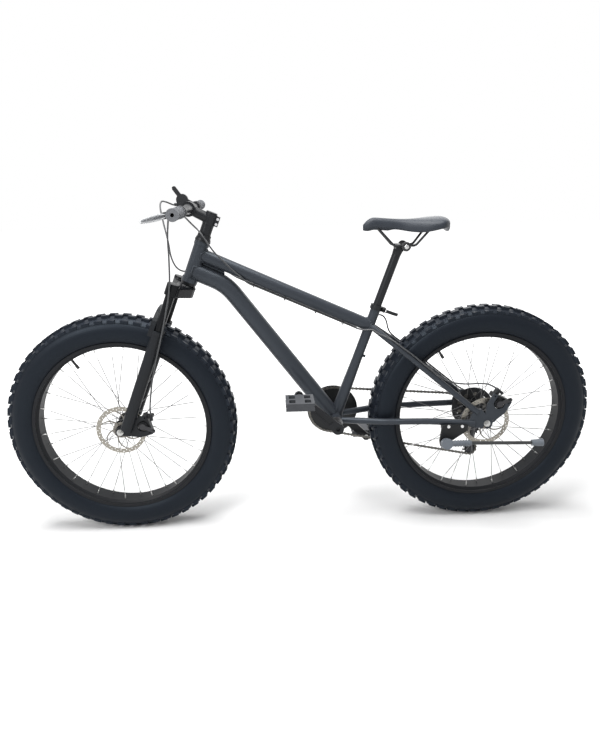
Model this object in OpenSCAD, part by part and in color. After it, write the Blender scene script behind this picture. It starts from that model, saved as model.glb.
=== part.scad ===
/* [Wheels] */
// Distance between the two axles
wheelbase = 1184; // [1150:1:1220]
// Radius of a tyre over its crown knobs, also the height of both axles
tyre_r = 371; // [367:0.5:375]
// Width of a tyre's casing
tyre_w = 99; // [95:0.5:102]
// Height of a tread knob
knob_h = 6; // [4:0.5:7]
// Knobs in each row of the tread
knobs = 56; // [44:1:62]
// Width of a rim over its flanges
rim_w = 80; // [76:1:84]
// Radius of the seat that a tyre's bead sits on
bead_r = 279.6; // [279.2:0.1:280]
// Spokes in each wheel
spokes = 36; // [24:4:36]
// Diameter of a spoke
spoke_d = 2; // [1.8:0.1:2.3]
// Length of the front axle between its dropouts
front_old = 135; // [133:1:137]
// Length of the rear axle between its dropouts
rear_old = 190; // [188:1:192]
// Diameter of both threaded axles
axle_d = 10; // [9:0.5:10]
// Radius of a brake rotor
rotor_r = 80; // [79:0.5:81]

/* [Frame] */
// Angle of the head tube from the floor
head_angle = 68.1; // [67:0.1:69]
// Length of the head tube
head_len = 131; // [125:1:140]
// Diameter of the head tube
head_d = 44; // [42:0.5:46]
// Angle of the seat tube from the floor
seat_angle = 70.4; // [69.8:0.1:71]
// Length of the seat tube from the bottom bracket centre
seat_len = 402; // [390:1:415]
// Outer diameter of the seat tube at its top
seat_d = 31.8; // [31.4:0.1:33]
// Horizontal distance from the bottom bracket to the rear axle
stay_len = 486; // [480:1:492]
// Height of the rear axle above the bottom bracket
bb_drop = 1; // [-2:1:5]
// Width of the bottom bracket shell
bb_w = 100; // [98:1:102]
// Diameter of the bottom bracket shell
bb_d = 44; // [42:0.5:46]
// Diameter of the top tube
top_d = 40.5; // [40:0.5:44]
// Diameter of the down tube
down_d = 55; // [52:0.5:57]
// Wall of the main tubes
tube_wall = 2.4; // [2:0.1:3]
// Diameter of a chainstay
cs_d = 21; // [19:0.5:22]
// Diameter of a seatstay
ss_d = 19; // [17:0.5:20]
// Thickness of a rear dropout
drop_t = 6; // [5:0.5:7]

/* [Fork] */
// Distance along the fork from the head tube to the level of the axle
fork_len = 524.8; // [520:1:530]
// Distance of the axle in front of the steering axis
fork_rake = 51.7; // [48:0.5:55]
// Distance of the legs in front of the steering axis
leg_fwd = 35; // [33:0.5:37]
// Distance of a leg from the middle plane
leg_y = 77; // [76:0.5:79]
// Diameter of a sliding leg
leg_d = 38; // [36:0.5:39]
// Diameter of a stanchion
stan_d = 28; // [26:0.5:30]
// Travel of the suspension
travel = 48; // [40:1:48]

/* [Cockpit and saddle] */
// Overall width of the handlebar
bar_w = 680; // [660:5:720]
// Diameter of the handlebar at the controls
bar_d = 22.2; // [22:0.1:22.6]
// Diameter of the handlebar in the stem
bar_clamp_d = 31.8; // [30:0.1:32]
// Distance of the handlebar in front of the steering axis
stem_reach = 68; // [60:1:80]
// Diameter of the steerer
steerer_d = 28.6; // [28:0.1:29]
// Length of a grip
grip_len = 126; // [115:1:132]
// Diameter of the seatpost
post_d = 27.2; // [26:0.1:27.4]
// Height of the saddle's clamp above the seat tube along the post
post_out = 190; // [150:1:220]
// Length of the saddle
saddle_len = 264; // [250:1:280]
// Width of the saddle
saddle_w = 162; // [145:1:175]

/* [Drive] */
// Teeth on the chainring
ring_teeth = 40; // [38:1:42]
// Teeth on the sprocket that carries the chain
cog_teeth = 20; // [19:1:21]
// Distance of the chain from the middle plane
chain_y = 72; // [71:0.5:73]
// Pitch of the chain
pitch = 12.7; // [12.6:0.05:12.8]
// Length of a crank between its two axes
crank_len = 170; // [165:0.5:175]
// Angle of the left crank from the rear horizontal
crank_angle = 136.9; // [120:1:150]
// Length of a pedal along the bike
pedal_len = 86; // [76:1:92]
// Width of a pedal
pedal_w = 84; // [76:1:90]
// Height of a pedal
pedal_h = 24; // [20:1:28]

/* [Hidden] */

fit = 0.05;      // running clearance, radial
loose = 0.35;    // clearance of a cable housing in its barrel, radial
seat = 0.02;     // clearance of pieces that are clamped together
gap = 0.3;       // least space between pieces of different bodies
fine = 64;       // facets of a circle in a preview

axle_z = tyre_r;
front_x = -wheelbase / 2;
rear_x = wheelbase / 2;
bb = [rear_x - stay_len, 0, axle_z - bb_drop];
front_c = [front_x, 0, axle_z];
rear_c = [rear_x, 0, axle_z];

// Directions in the fork and along the seat tube
fork_up = [cos(head_angle), 0, sin(head_angle)];
fork_back = [sin(head_angle), 0, -cos(head_angle)];
seat_up = [cos(seat_angle), 0, sin(seat_angle)];
seat_back = [sin(seat_angle), 0, -cos(seat_angle)];
head = front_c + fork_len * fork_up + fork_rake * fork_back;

function unit(v) = v / norm(v);
function in_fork_at(x, y, z) = head + x * fork_back + [0, y, 0] + z * fork_up;
function in_seat_at(x, y, z) = bb + x * seat_back + [0, y, 0] + z * seat_up;
function flip(p) = [p[0], -p[1], p[2]];

// Frame whose z axis runs up the steering axis and whose x axis points back
module in_fork() {
  translate(head) rotate([0, 90 - head_angle, 0]) children();
}

// Frame whose z axis runs up the seat tube from the bottom bracket
module in_seat() {
  translate(bb) rotate([0, 90 - seat_angle, 0]) children();
}

module both_sides() {
  children();
  mirror([0, 1, 0]) children();
}

// Cylinder across the bike between two distances from the middle plane
module cross_rod(y0, y1, r) {
  translate([0, y0, 0]) rotate([-90, 0, 0]) cylinder(h = y1 - y0, r = r, $fn = fine);
}

// Flat plate in the side view, between two distances from the middle plane
module side_plate(y0, y1) {
  translate([0, y1, 0]) rotate([90, 0, 0]) linear_extrude(y1 - y0) children();
}

module at_axes(o, x, y, z) {
  multmatrix([
    [x[0], y[0], z[0], o[0]],
    [x[1], y[1], z[1], o[1]],
    [x[2], y[2], z[2], o[2]],
    [0, 0, 0, 1]
  ]) children();
}

// Round rod between two points, tapered where a second diameter is given
module rod(a, b, d, d_end = 0) {
  z = unit(b - a);
  side = abs(z[2]) < 0.9 ? [0, 0, 1] : [1, 0, 0];
  x = unit(cross(side, z));
  at_axes(a, x, cross(z, x), z)
    cylinder(h = norm(b - a), d1 = d, d2 = d_end == 0 ? d : d_end, $fn = fine);
}

// Round rod along straight runs that are joined by bends of one radius
module bent_rod(pts, bend, d) {
  swell = 0.3;
  last = len(pts) - 1;
  cut = [for (i = [0:last]) (i == 0 || i == last) ? 0
    : bend * tan(acos(unit(pts[i] - pts[i - 1]) * unit(pts[i + 1] - pts[i])) / 2)];
  for (i = [0:last - 1]) {
    along = unit(pts[i + 1] - pts[i]);
    into_a = i == 0 ? 0 : cut[i] - 1;
    into_b = i == last - 1 ? 0 : cut[i + 1] - 1;
    rod(pts[i] + along * into_a, pts[i + 1] - along * into_b, d);
  }
  for (i = [1:last - 1]) {
    a = unit(pts[i] - pts[i - 1]);
    b = unit(pts[i + 1] - pts[i]);
    n = unit(cross(a, b));
    inward = unit(cross(n, a));
    centre = pts[i] - a * cut[i] + inward * bend;
    at_axes(centre, -inward, a, n)
      rotate_extrude(angle = acos(a * b), $fn = fine)
        translate([bend, 0]) circle(d = d + swell, $fn = fine);
  }
}

// Point of a smooth curve through four points, at t from the second to the third
function spline_at(p0, p1, p2, p3, t) =
  0.5 * ((2 * p1) + (p2 - p0) * t + (2 * p0 - 5 * p1 + 4 * p2 - p3) * t * t
  + (3 * p1 - p0 - 3 * p2 + p3) * t * t * t);
function smooth(pts, steps) =
  let (n = len(pts) - 1)
  concat([for (i = [0:n - 1], k = [0:steps - 1])
    spline_at(pts[max(i - 1, 0)], pts[i], pts[i + 1], pts[min(i + 2, n)], k / steps)],
    [pts[n]]);

// Closed skin over rings that all have the same number of points
module skin(rings) {
  n = len(rings[0]);
  m = len(rings);
  points = [for (r = rings, p = r) p];
  sides = [for (i = [0:m - 2], k = [0:n - 1])
    let (a = i * n + k, b = i * n + (k + 1) % n) each [[a, b, b + n], [a, b + n, a + n]]];
  first = [for (k = [1:n - 2]) [0, k + 1, k]];
  last = [for (k = [1:n - 2]) [(m - 1) * n, (m - 1) * n + k, (m - 1) * n + k + 1]];
  polyhedron(points = points, faces = concat(sides, first, last), convexity = 10);
}

// Tube swept along a smooth route, its side vector carried from ring to ring
function carry(side, along) = unit(side - along * (side * along));
function ring_sides(path, i = 0, side = [0.12, 0.98, 0.15]) =
  i >= len(path) ? [] :
  let (
    along = unit(path[min(i + 1, len(path) - 1)] - path[max(i - 1, 0)]),
    s = carry(side, along)
  ) concat([[s, cross(along, s)]], ring_sides(path, i + 1, s));
module swept_tube(route, steps, d, sides = 8) {
  path = smooth(route, steps);
  axes = ring_sides(path);
  skin([for (i = [0:len(path) - 1]) [for (k = [0:sides - 1])
    path[i] + d / 2 * (cos(k * 360 / sides) * axes[i][0] - sin(k * 360 / sides) * axes[i][1])]]);
}

// Frame tubes

top_front = in_fork_at(0, 0, 91);
top_rear = in_seat_at(0, 0, 333);
down_front = in_fork_at(0, 0, 36);
down_bend = in_fork_at(110, 0, 31);

module head_tube() {
  collar = 13;
  color("#23262b") in_fork() difference() {
    union() {
      cylinder(h = head_len, d = head_d, $fn = fine);
      cylinder(h = collar, d = head_d + 6, $fn = fine);
      translate([0, 0, head_len - collar]) cylinder(h = collar, d = head_d + 3, $fn = fine);
    }
    translate([0, 0, -1]) cylinder(h = head_len + 2, d = headset_d, $fn = fine);
  }
}

module top_solid(d) {
  rod(top_front, top_rear, d);
}

module top_tube() {
  color("#23262b") difference() {
    top_solid(top_d);
    top_solid(top_d - 2 * tube_wall);
    in_fork() cylinder(h = head_len, d = head_d, $fn = fine);
    in_seat() cylinder(h = seat_len, d = seat_d, $fn = fine);
    in_seat() translate([seat_d / 4, -top_d, 0]) cube([top_d, 2 * top_d, seat_len]);
  }
}

module down_solid(d) {
  bent_rod([down_front, down_bend, bb], 150, d);
}

module down_tube() {
  color("#23262b") difference() {
    down_solid(down_d);
    down_solid(down_d - 2 * tube_wall);
    in_fork() translate([0, 0, -30]) cylinder(h = head_len, d = head_d, $fn = fine);
    in_fork() translate([0, 0, -1]) cylinder(h = 14, d = head_d + 6, $fn = fine);
    top_solid(top_d);
    translate(bb) cross_rod(-bb_w, bb_w, bb_d / 2);
    in_seat() translate([-seat_d / 4, -down_d, 0]) cube([down_d, 2 * down_d, seat_len]);
    in_seat() seat_flare();
  }
}

flare_len = 214;
flare_d = 41;
module seat_flare() {
  cylinder(h = flare_len, d1 = flare_d, d2 = seat_d, $fn = fine);
}

module seat_tube() {
  slot_w = 2.4;
  color("#23262b") in_seat() difference() {
    union() {
      cylinder(h = seat_len, d = seat_d, $fn = fine);
      seat_flare();
      cross_rod(-bb_w / 2, bb_w / 2, bb_d / 2);
      // Boss for a rack or a guard, on the back of the tube
      translate([seat_d / 2 - 2, 0, 232]) rotate([0, 90, 0]) cylinder(h = 9, d = 9, $fn = fine);
    }
    translate([0, 0, 70]) cylinder(h = seat_len, d = post_d + 2 * fit, $fn = fine);
    translate([0, -slot_w / 2, seat_len - 28]) cube([seat_d, slot_w, 40]);
    translate([8, 0, 232]) rotate([0, 90, 0]) cylinder(h = 20, d = boss_hole, $fn = fine);
    cross_rod(-bb_w, bb_w, bb_bore / 2);
  }
}

boss_hole = 5;

bb_bore = 34.8;
drop_in = rear_old / 2;
cs_path = [
  [bb[0] + 12, 30, bb[2] + 2], [rear_x - 330, 69, axle_z + 5],
  [rear_x - 192, 80, axle_z + 6], [rear_x - 40, drop_in + drop_t / 2, axle_z + 2]
];
ss_path = [
  in_seat_at(4, 15, 334), [rear_x - 288, 67, axle_z + 250],
  [rear_x - 32, drop_in + drop_t / 2, axle_z + 38]
];

module rear_dropout(hanger) {
  difference() {
    side_plate(drop_in, drop_in + drop_t) translate([rear_x, axle_z]) difference() {
      union() {
        circle(r = 19, $fn = fine);
        polygon([[-46, 50], [-22, 50], [14, 12], [12, -14], [-8, -18], [-58, -9], [-58, 12]]);
        translate(eyelet_at) circle(r = 7, $fn = fine);
        if (hanger) {
          polygon([[6, -8], [17, -8], [21, -28], [1, -26]]);
          translate(hanger_at) circle(r = 11, $fn = fine);
        } else rotate(rear_cal_angle) mount_tab();
      }
      circle(d = axle_d + 2 * fit, $fn = fine);
      rotate(slot_angle) translate([0, -axle_d / 2 - fit]) square([40, axle_d + 2 * fit]);
      translate(eyelet_at) circle(d = boss_hole, $fn = fine);
      if (hanger) translate(hanger_at) circle(d = hanger_hole, $fn = fine);
    }
  }
}

// Direction in which a wheel drops out, seen with the front to the left
slot_angle = -115;
eyelet_at = [20, 10];
hanger_at = [10, -29];
hanger_hole = 10;

module cs_rod() {
  bent_rod(cs_path, 90, cs_d);
}

module chainstays() {
  color("#23262b") both_sides() difference() {
    cs_rod();
    translate(bb) cross_rod(-bb_w, bb_w, bb_d / 2);
    in_seat() seat_flare();
    // Slot that takes the front of the dropout
    side_plate(drop_in, drop_in + drop_t) translate([rear_x - 58, axle_z - 30]) square([60, 60]);
    down_solid(down_d);
  }
}

module seatstays() {
  color("#23262b") {
    both_sides() difference() {
      bent_rod(ss_path, 60, ss_d);
      in_seat() cylinder(h = seat_len, d = seat_d, $fn = fine);
      top_solid(top_d);
    }
    rear_dropout(true);
    mirror([0, 1, 0]) rear_dropout(false);
  }
}

// Bearings and clamps on the frame

headset_d = 34;
cup_h = 10;

module headset_cup() {
  difference() {
    union() {
      translate([0, 0, -cup_h]) cylinder(h = cup_h, d1 = head_d + 1, d2 = head_d + 6, $fn = fine);
      cylinder(h = 9, d = headset_d - 2 * seat, $fn = fine);
    }
    translate([0, 0, -cup_h - 1]) cylinder(h = cup_h + 20, d = steerer_d + 2 * fit, $fn = fine);
  }
}

module headset() {
  color("#15171a") in_fork() {
    headset_cup();
    translate([0, 0, head_len]) mirror([0, 0, 1]) headset_cup();
  }
}

spindle_d = 17;
module bottom_bracket() {
  cup_r = bb_bore / 2 - seat;
  color("#8d9094") translate(bb) difference() {
    union() {
      cross_rod(-bb_w / 2, bb_w / 2, cup_r);
      both_sides() cross_rod(bb_w / 2, bb_w / 2 + 4, bb_d / 2 - 1);
    }
    cross_rod(-bb_w, bb_w, spindle_d / 2 + fit);
    cross_rod(-bb_w / 2 + 16, bb_w / 2 - 16, cup_r - 3);
  }
}

collar_h = 15;
collar_z = seat_len - 14;
skewer_x = seat_d / 2 + 7;
module seat_collar() {
  color("#101114") in_seat() difference() {
    union() {
      translate([0, 0, collar_z]) cylinder(h = collar_h, d = seat_d + 8, $fn = fine);
      translate([seat_d / 2 - 2, -9, collar_z]) cube([16, 18, collar_h]);
    }
    translate([0, 0, collar_z - 1]) cylinder(h = collar_h + 2 - 2, d = seat_d + 2 * seat, $fn = fine);
    translate([0, 0, collar_z - 1]) cylinder(h = collar_h + 4, d = post_d + 2 * fit, $fn = fine);
    translate([0, -1.2, collar_z - 1]) cube([seat_d, 2.4, collar_h + 2]);
    translate([skewer_x, 0, collar_z + collar_h / 2]) rotate([90, 0, 0])
      cylinder(h = 60, d = 5 + 2 * seat, center = true, $fn = fine);
  }
  color("#9a9da2") skewer();
}

// Quick-release lever of the seat collar, closed and pointing back
lever_y = -15;
module seat_clamp_lever() {
  color("#101114") in_seat() translate([skewer_x, 0, collar_z + collar_h / 2]) {
    difference() {
      translate([0, 0, -5]) linear_extrude(10) difference() {
        union() {
          translate([0, lever_y]) circle(r = 5.6, $fn = fine);
          polygon([[0, lever_y - 5.6], [30, lever_y - 8], [46, lever_y - 6], [48, lever_y - 2],
            [30, lever_y - 3], [8, lever_y + 2], [0, lever_y + 5]]);
        }
        translate([0, lever_y]) circle(d = 4 + 2 * fit, $fn = fine);
      }
      translate([-8, lever_y - 5.6 - 1, -2.8]) cube([16.5, 8.2 + 8, 5.6]);
    }
  }
}

module skewer() {
  in_seat() translate([skewer_x, 0, collar_z + collar_h / 2]) {
    cross_rod(lever_y, 13, 2.5);
    translate([0, 9, 0]) cross_rod(0, 5, 5.5);
    translate([0, lever_y, -8]) cylinder(h = 16, d = 4, $fn = fine);
  }
}

// Axles

nut_r = 8.6;
module wheel_axle(old, plate) {
  difference() {
    union() {
      cross_rod(-old / 2 - plate - 11, old / 2 + plate + 11, axle_d / 2);
      both_sides() {
        cross_rod(old / 2 - 4, old / 2, 8);
        translate([0, old / 2 + plate, 0]) rotate([-90, 0, 0]) {
          cylinder(h = 1.6, r = 10.5, $fn = fine);
          cylinder(h = 8, r = nut_r, $fn = 6);
        }
      }
    }
  }
}

module rear_axle() {
  color("#9a9da2") translate(rear_c) wheel_axle(rear_old, drop_t);
}

fork_drop_t = 6;
module front_axle() {
  color("#9a9da2") translate(front_c) wheel_axle(front_old, fork_drop_t);
}

// Wheels

rim_flange = 2.2;
half_rim = rim_w / 2;
casing_c = 320;
casing_h = tyre_r - knob_h - casing_c;
casing_w = tyre_w / 2;
casing_t = 4;
function power(v, e) = sign(v) * pow(abs(v), e);
function casing(inset, t) = [
  casing_c + (casing_h - inset) * power(sin(t), 0.87),
  (casing_w - inset) * power(cos(t), 0.87)
];
function casing_r(y) =
  casing_c + casing_h * power(sin(acos(power(min(abs(y) / casing_w, 1), 1 / 0.87))), 0.87);

module around_axle() {
  rotate([90, 0, 0]) rotate_extrude($fn = 2 * fine) children();
}

// Row of knobs: a toothed wheel whose teeth stand out of the casing
module knob_row(y, width, top, start) {
  step = 360 / knobs;
  lug = 0.6;
  foot = top - knob_h - 3;
  side_plate(y - width / 2, y + width / 2) difference() {
    polygon([for (i = [0:knobs - 1], c = [[0, 0], [0, 1], [lug, 1], [lug, 0]])
      let (a = start + (i + c[0]) * step, r = c[1] == 1 ? top : foot) [r * cos(a), r * sin(a)]]);
    circle(r = casing_c + 8, $fn = 2 * fine);
  }
}

module tyre() {
  step = 360 / knobs;
  lug_mid = 0.3 * step;
  difference() {
    union() {
      around_axle() polygon([for (t = [-48:6:228]) casing(0, t)]);
      both_sides() around_axle() translate([bead_r + 4.7, half_rim - rim_flange - 4.9])
        circle(r = 4.5, $fn = fine);
      for (side = [-1, 1]) {
        off = side > 0 ? 0 : step / 2;
        knob_row(side * 11.5, 18, tyre_r, 270 - lug_mid + off);
        knob_row(side * 33, 17, casing_r(37) + knob_h, 270 - lug_mid + step / 2 - off);
      }
    }
    around_axle() polygon(concat([for (t = [-48:6:228]) casing(casing_t, t)],
      [[200, -32.3], [200, 32.3]]));
  }
}

tube_foot = bead_r + 5;
module inner_tube() {
  skin_t = 1.5;
  around_axle() difference() {
    polygon(concat([for (t = [-36:6:216]) casing(casing_t + gap, t)],
      [[tube_foot, -24], [tube_foot, 24]]));
    polygon(concat([for (t = [-36:6:216]) casing(casing_t + gap + skin_t, t)],
      [[tube_foot + skin_t, -23], [tube_foot + skin_t, 23]]));
  }
  rotate([0, valve_angle, 0]) translate([-tube_foot - 1, 0, 0]) rotate([0, 90, 0]) {
    cylinder(h = 46, d = valve_d, $fn = fine);
    translate([0, 0, 38]) cylinder(h = 14, d = 9.6, $fn = fine);
  }
}

valve_d = 8;
valve_angle = 57;
well_r = 272;
rim_wall = 2.4;
module rim() {
  inner = well_r - rim_wall;
  profile = [
    [well_r, -24], [bead_r, -30], [bead_r, -half_rim + rim_flange],
    [bead_r + 7.4, -half_rim + rim_flange], [bead_r + 7.4, -half_rim],
    [bead_r - rim_wall, -half_rim], [bead_r - rim_wall, -30.8], [inner, -24.8]
  ];
  other = [for (i = [7:-1:0]) [profile[i][0], -profile[i][1]]];
  difference() {
    around_axle() polygon(concat(profile, other));
    for (i = [0:spokes - 1]) rotate([0, -rim_at(i), 0]) translate([inner - 3, spoke_row(i), 0])
      rotate([0, 90, 0]) cylinder(h = 9, d = nipple_d + 2 * seat, $fn = fine);
    rotate([0, valve_angle, 0]) translate([-well_r - 5, 0, 0]) rotate([0, 90, 0])
      cylinder(h = 12, d = valve_d + 2 * seat, $fn = fine);
  }
}

// Spokes: each runs from a flange hole to the rim, crossing three others
nipple_d = 4;
rim_offset = 14;
flange_t = 3.2;
function rim_at(i) = i * 360 / spokes + 180 / spokes;
function spoke_side(i) = i % 2 == 0 ? -1 : 1;
function leads(i) = floor(i / 2) % 2 == 0 ? 1 : -1;
function spoke_row(i) = spoke_side(i) * (rim_offset + leads(i) * 0.8);
function hub_at(i) = rim_at(i) + leads(i) * 58;
function polar(r, a, y) = [r * cos(a), y, r * sin(a)];

module spoke_set(left_y, right_y, left_r, right_r) {
  for (i = [0:spokes - 1]) {
    y = spoke_side(i) < 0 ? left_y : right_y;
    r = spoke_side(i) < 0 ? left_r : right_r;
    out = spoke_side(i) * leads(i);
    // A spoke on the outside of its flange stands off to pass the edge
    off = flange_t / 2 + spoke_d / 2 + (leads(i) > 0 ? 1.7 : 0.1);
    start = polar(r, hub_at(i), y + out * off);
    finish = polar(well_r + 2, rim_at(i), spoke_row(i));
    seat_at = polar(well_r - 14, rim_at(i), spoke_row(i));
    rod(start - spoke_d / 2 * unit(seat_at - start), seat_at, spoke_d);
    rod(seat_at - unit(finish - seat_at), finish, nipple_d);
    translate(polar(r, hub_at(i), 0)) {
      elbow = off + spoke_d / 2 - 0.1;
      head = flange_t / 2 + 0.1;
      if (out > 0) cross_rod(y - head - 1, y + elbow, spoke_d / 2);
      if (out > 0) cross_rod(y - head - 1.6, y - head, spoke_d * 0.9);
      if (out < 0) cross_rod(y - elbow, y + head + 1, spoke_d / 2);
      if (out < 0) cross_rod(y + head, y + head + 1.6, spoke_d * 0.9);
    }
  }
}

module flange(y, r, left) {
  difference() {
    cross_rod(y - flange_t / 2, y + flange_t / 2, r + 4);
    for (i = [0:spokes - 1]) if ((spoke_side(i) < 0) == left) translate(polar(r, hub_at(i), 0))
      cross_rod(y - flange_t, y + flange_t, spoke_d / 2 + seat);
  }
}

front_flange_y = 34;
front_flange_r = 24;
front_rotor_y = -front_old / 2 + 15;
hub_waist = 17;
rotor_t = 1.9;
module front_hub() {
  end = front_old / 2 - 4 - gap;
  color("#17181b") translate(front_c) difference() {
    union() {
      flange(-front_flange_y, front_flange_r, true);
      flange(front_flange_y, front_flange_r, false);
      cross_rod(-end, end, 12);
      cross_rod(-front_flange_y, front_flange_y, hub_waist);
      cross_rod(front_rotor_y + rotor_t / 2, front_rotor_y + 5, 26);
      cross_rod(front_rotor_y, -front_flange_y, hub_waist);
    }
    cross_rod(-front_old, front_old, axle_d / 2 + fit);
    cross_rod(-end + 12, end - 12, 11);
    rotor_bolts(front_rotor_y, 12);
  }
}

rear_left_y = -62;
rear_right_y = 44;
rear_flange_r = 26;
rear_rotor_y = -rear_old / 2 + 15.3;
driver_r = 15;
module rear_hub() {
  end = rear_old / 2 - 4 - gap;
  color("#17181b") translate(rear_c) difference() {
    union() {
      flange(rear_left_y, rear_flange_r, true);
      flange(rear_right_y, rear_flange_r, false);
      cross_rod(-end, end, driver_r);
      cross_rod(rear_left_y, rear_right_y, hub_waist + 2);
      cross_rod(rear_rotor_y + rotor_t / 2, rear_rotor_y + 5, 26);
      cross_rod(rear_right_y, rear_right_y + 9, 21);
    }
    cross_rod(-rear_old, rear_old, axle_d / 2 + fit);
    cross_rod(-end + 12, end - 12, 11);
    rotor_bolts(rear_rotor_y, 12);
  }
}

module rotor_bolts(y, length) {
  for (i = [0:5]) translate(polar(22, i * 60, 0)) cross_rod(y - 4, y + length, 2.5);
}

// Brake rotor: a drilled ring on six curved arms
module rotor(y) {
  side_plate(y - rotor_t / 2, y + rotor_t / 2) difference() {
    union() {
      difference() {
        circle(r = rotor_r, $fn = fine);
        circle(r = rotor_r - 14, $fn = fine);
        for (i = [0:23], k = [0, 1]) rotate(i * 15 + k * 7.5) translate([rotor_r - 4.5 - k * 5, 0])
          circle(r = 1.9, $fn = 16);
      }
      difference() {
        circle(r = 27, $fn = fine);
        circle(r = hub_waist + seat, $fn = fine);
      }
      for (i = [0:5]) rotate(i * 60) intersection() {
        polygon([for (s = [0:6]) let (a = 5 * s + s * s * 0.4, r = 25 + s * 7.2)
          [r * cos(a) - 2.6 * sin(a), r * sin(a) + 2.6 * cos(a)],
          for (s = [6:-1:0]) let (a = 5 * s + s * s * 0.4, r = 25 + s * 7.2)
          [r * cos(a) + 2.6 * sin(a), r * sin(a) - 2.6 * cos(a)]]);
        circle(r = rotor_r - 12, $fn = fine);
      }
    }
    for (i = [0:5]) rotate(i * 60) translate([22, 0]) circle(r = 2.55, $fn = fine);
  }
  for (i = [0:5]) translate(polar(22, i * 60, 0)) {
    cross_rod(y - 2.8, y + 9, 2.45);
    cross_rod(y - 3.2, y - rotor_t / 2, 4);
  }
}

module front_tyre() { color("#1b1c1e") translate(front_c) tyre(); }
module rear_tyre() { color("#1b1c1e") translate(rear_c) tyre(); }
module front_inner_tube() { color("#101010") translate(front_c) inner_tube(); }
module rear_inner_tube() { color("#101010") translate(rear_c) inner_tube(); }
module front_rim() { color("#141518") translate(front_c) rim(); }
module rear_rim() { color("#141518") translate(rear_c) rim(); }
module front_rotor() { color("#b9bbbd") translate(front_c) rotor(front_rotor_y); }
module rear_rotor() { color("#b9bbbd") translate(rear_c) rotor(rear_rotor_y); }

module front_spokes() {
  color("#c8cacc") translate(front_c)
    spoke_set(-front_flange_y, front_flange_y, front_flange_r, front_flange_r);
}

module rear_spokes() {
  color("#c8cacc") translate(rear_c)
    spoke_set(rear_left_y, rear_right_y, rear_flange_r, rear_flange_r);
}

module spoke_protector() {
  color("#0e0f10") translate(rear_c) side_plate(rear_right_y + 6.2, rear_right_y + 7.8) difference() {
    circle(r = 72, $fn = fine);
    circle(r = 21 + seat, $fn = fine);
    for (i = [0:8]) rotate(i * 40) translate([46, 0]) circle(r = 9, $fn = fine);
  }
}

// Drive

function pitch_r(n) = pitch / (2 * sin(180 / n));
pulley_teeth = 11;
cage_len = 78;
cage_angle = 262.6;
guide = [rear_x + 19, axle_z - 88];
tension = guide + cage_len * [cos(cage_angle), sin(cage_angle)];

// The chain's route: four toothed wheels, each with its turning sense
wheels = [
  [[bb[0], bb[2]], pitch_r(ring_teeth), -1, ring_teeth],
  [[rear_x, axle_z], pitch_r(cog_teeth), -1, cog_teeth],
  [guide, pitch_r(pulley_teeth), 1, pulley_teeth],
  [tension, pitch_r(pulley_teeth), -1, pulley_teeth]
];
function run_angle(a, b) =
  let (d = b[0] - a[0]) atan2(d[1], d[0]) + asin((a[2] * a[1] - b[2] * b[1]) / norm(d));
runs = [for (i = [0:3]) run_angle(wheels[i], wheels[(i + 1) % 4])];
function touch(w, run) = run - 90 * w[2];
function on_wheel(w, a) = w[0] + w[1] * [cos(a), sin(a)];
run_start = [for (i = [0:3]) on_wheel(wheels[i], touch(wheels[i], runs[i]))];
run_end = [for (i = [0:3]) on_wheel(wheels[(i + 1) % 4], touch(wheels[(i + 1) % 4], runs[i]))];
function turn(i) =
  let (w = wheels[i], from = touch(w, runs[(i + 3) % 4]), to = touch(w, runs[i]))
  ((w[2] * (to - from)) % 360 + 360) % 360;
run_links = [for (i = [0:3]) norm(run_end[i] - run_start[i]) / pitch];
arc_links = [for (i = [0:3]) turn(i) * wheels[i][3] / 360];
// Links from the top of the chainring to the start of each run and each wheel
at_cog = run_links[0];
at_run1 = at_cog + arc_links[1];
at_guide = at_run1 + run_links[1];
at_run2 = at_guide + arc_links[2];
at_tension = at_run2 + run_links[2];
at_run3 = at_tension + arc_links[3];
loop_links = at_run3 + run_links[3] + arc_links[0];
links = 2 * round(loop_links / 2);
slack_links = run_links[3] + links - loop_links;
at_ring = at_run3 + slack_links;

function on_run(i, part) = run_start[i] + part * (run_end[i] - run_start[i]);
function on_arc(i, q) =
  let (w = wheels[i]) on_wheel(w, touch(w, runs[(i + 3) % 4]) + w[2] * q * 360 / w[3]);
function roller(q) =
  q < at_cog ? on_run(0, q / run_links[0]) :
  q < at_run1 ? on_arc(1, q - at_cog) :
  q < at_guide ? on_run(1, (q - at_run1) / run_links[1]) :
  q < at_run2 ? on_arc(2, q - at_guide) :
  q < at_tension ? on_run(2, (q - at_run2) / run_links[2]) :
  q < at_run3 ? on_arc(3, q - at_tension) :
  q < at_ring ? on_run(3, (q - at_run3) / slack_links) :
  on_arc(0, q - at_ring);
function valley(i, q) = touch(wheels[i], runs[(i + 3) % 4]) - wheels[i][2] * q * 360 / wheels[i][3];

roller_r = 3.9;
valley_r = 4.15;
module link_outline(a, b, r) {
  n = unit([a[1] - b[1], b[0] - a[0]]) * r * 0.66;
  translate(a) circle(r = r, $fn = 24);
  translate(b) circle(r = r, $fn = 24);
  polygon([a + n, b + n, b - n, a - n]);
}

module inner_link(a, b) {
  difference() {
    union() {
      for (y = [-2.15, 1.25]) side_plate(chain_y + y, chain_y + y + 0.9) link_outline(a, b, 4.1);
      side_plate(chain_y - 1.3, chain_y + 1.3) {
        translate(a) circle(r = roller_r, $fn = 24);
        translate(b) circle(r = roller_r, $fn = 24);
      }
    }
    side_plate(chain_y - 3, chain_y + 3) {
      translate(a) circle(r = 1.8 + fit, $fn = 24);
      translate(b) circle(r = 1.8 + fit, $fn = 24);
    }
  }
}

module outer_link(a, b) {
  for (y = [-3.15, 2.25]) side_plate(chain_y + y, chain_y + y + 0.9) link_outline(a, b, 4.1);
  side_plate(chain_y - 3.5, chain_y + 3.5) {
    translate(a) circle(r = 1.8, $fn = 24);
    translate(b) circle(r = 1.8, $fn = 24);
  }
}

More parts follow.
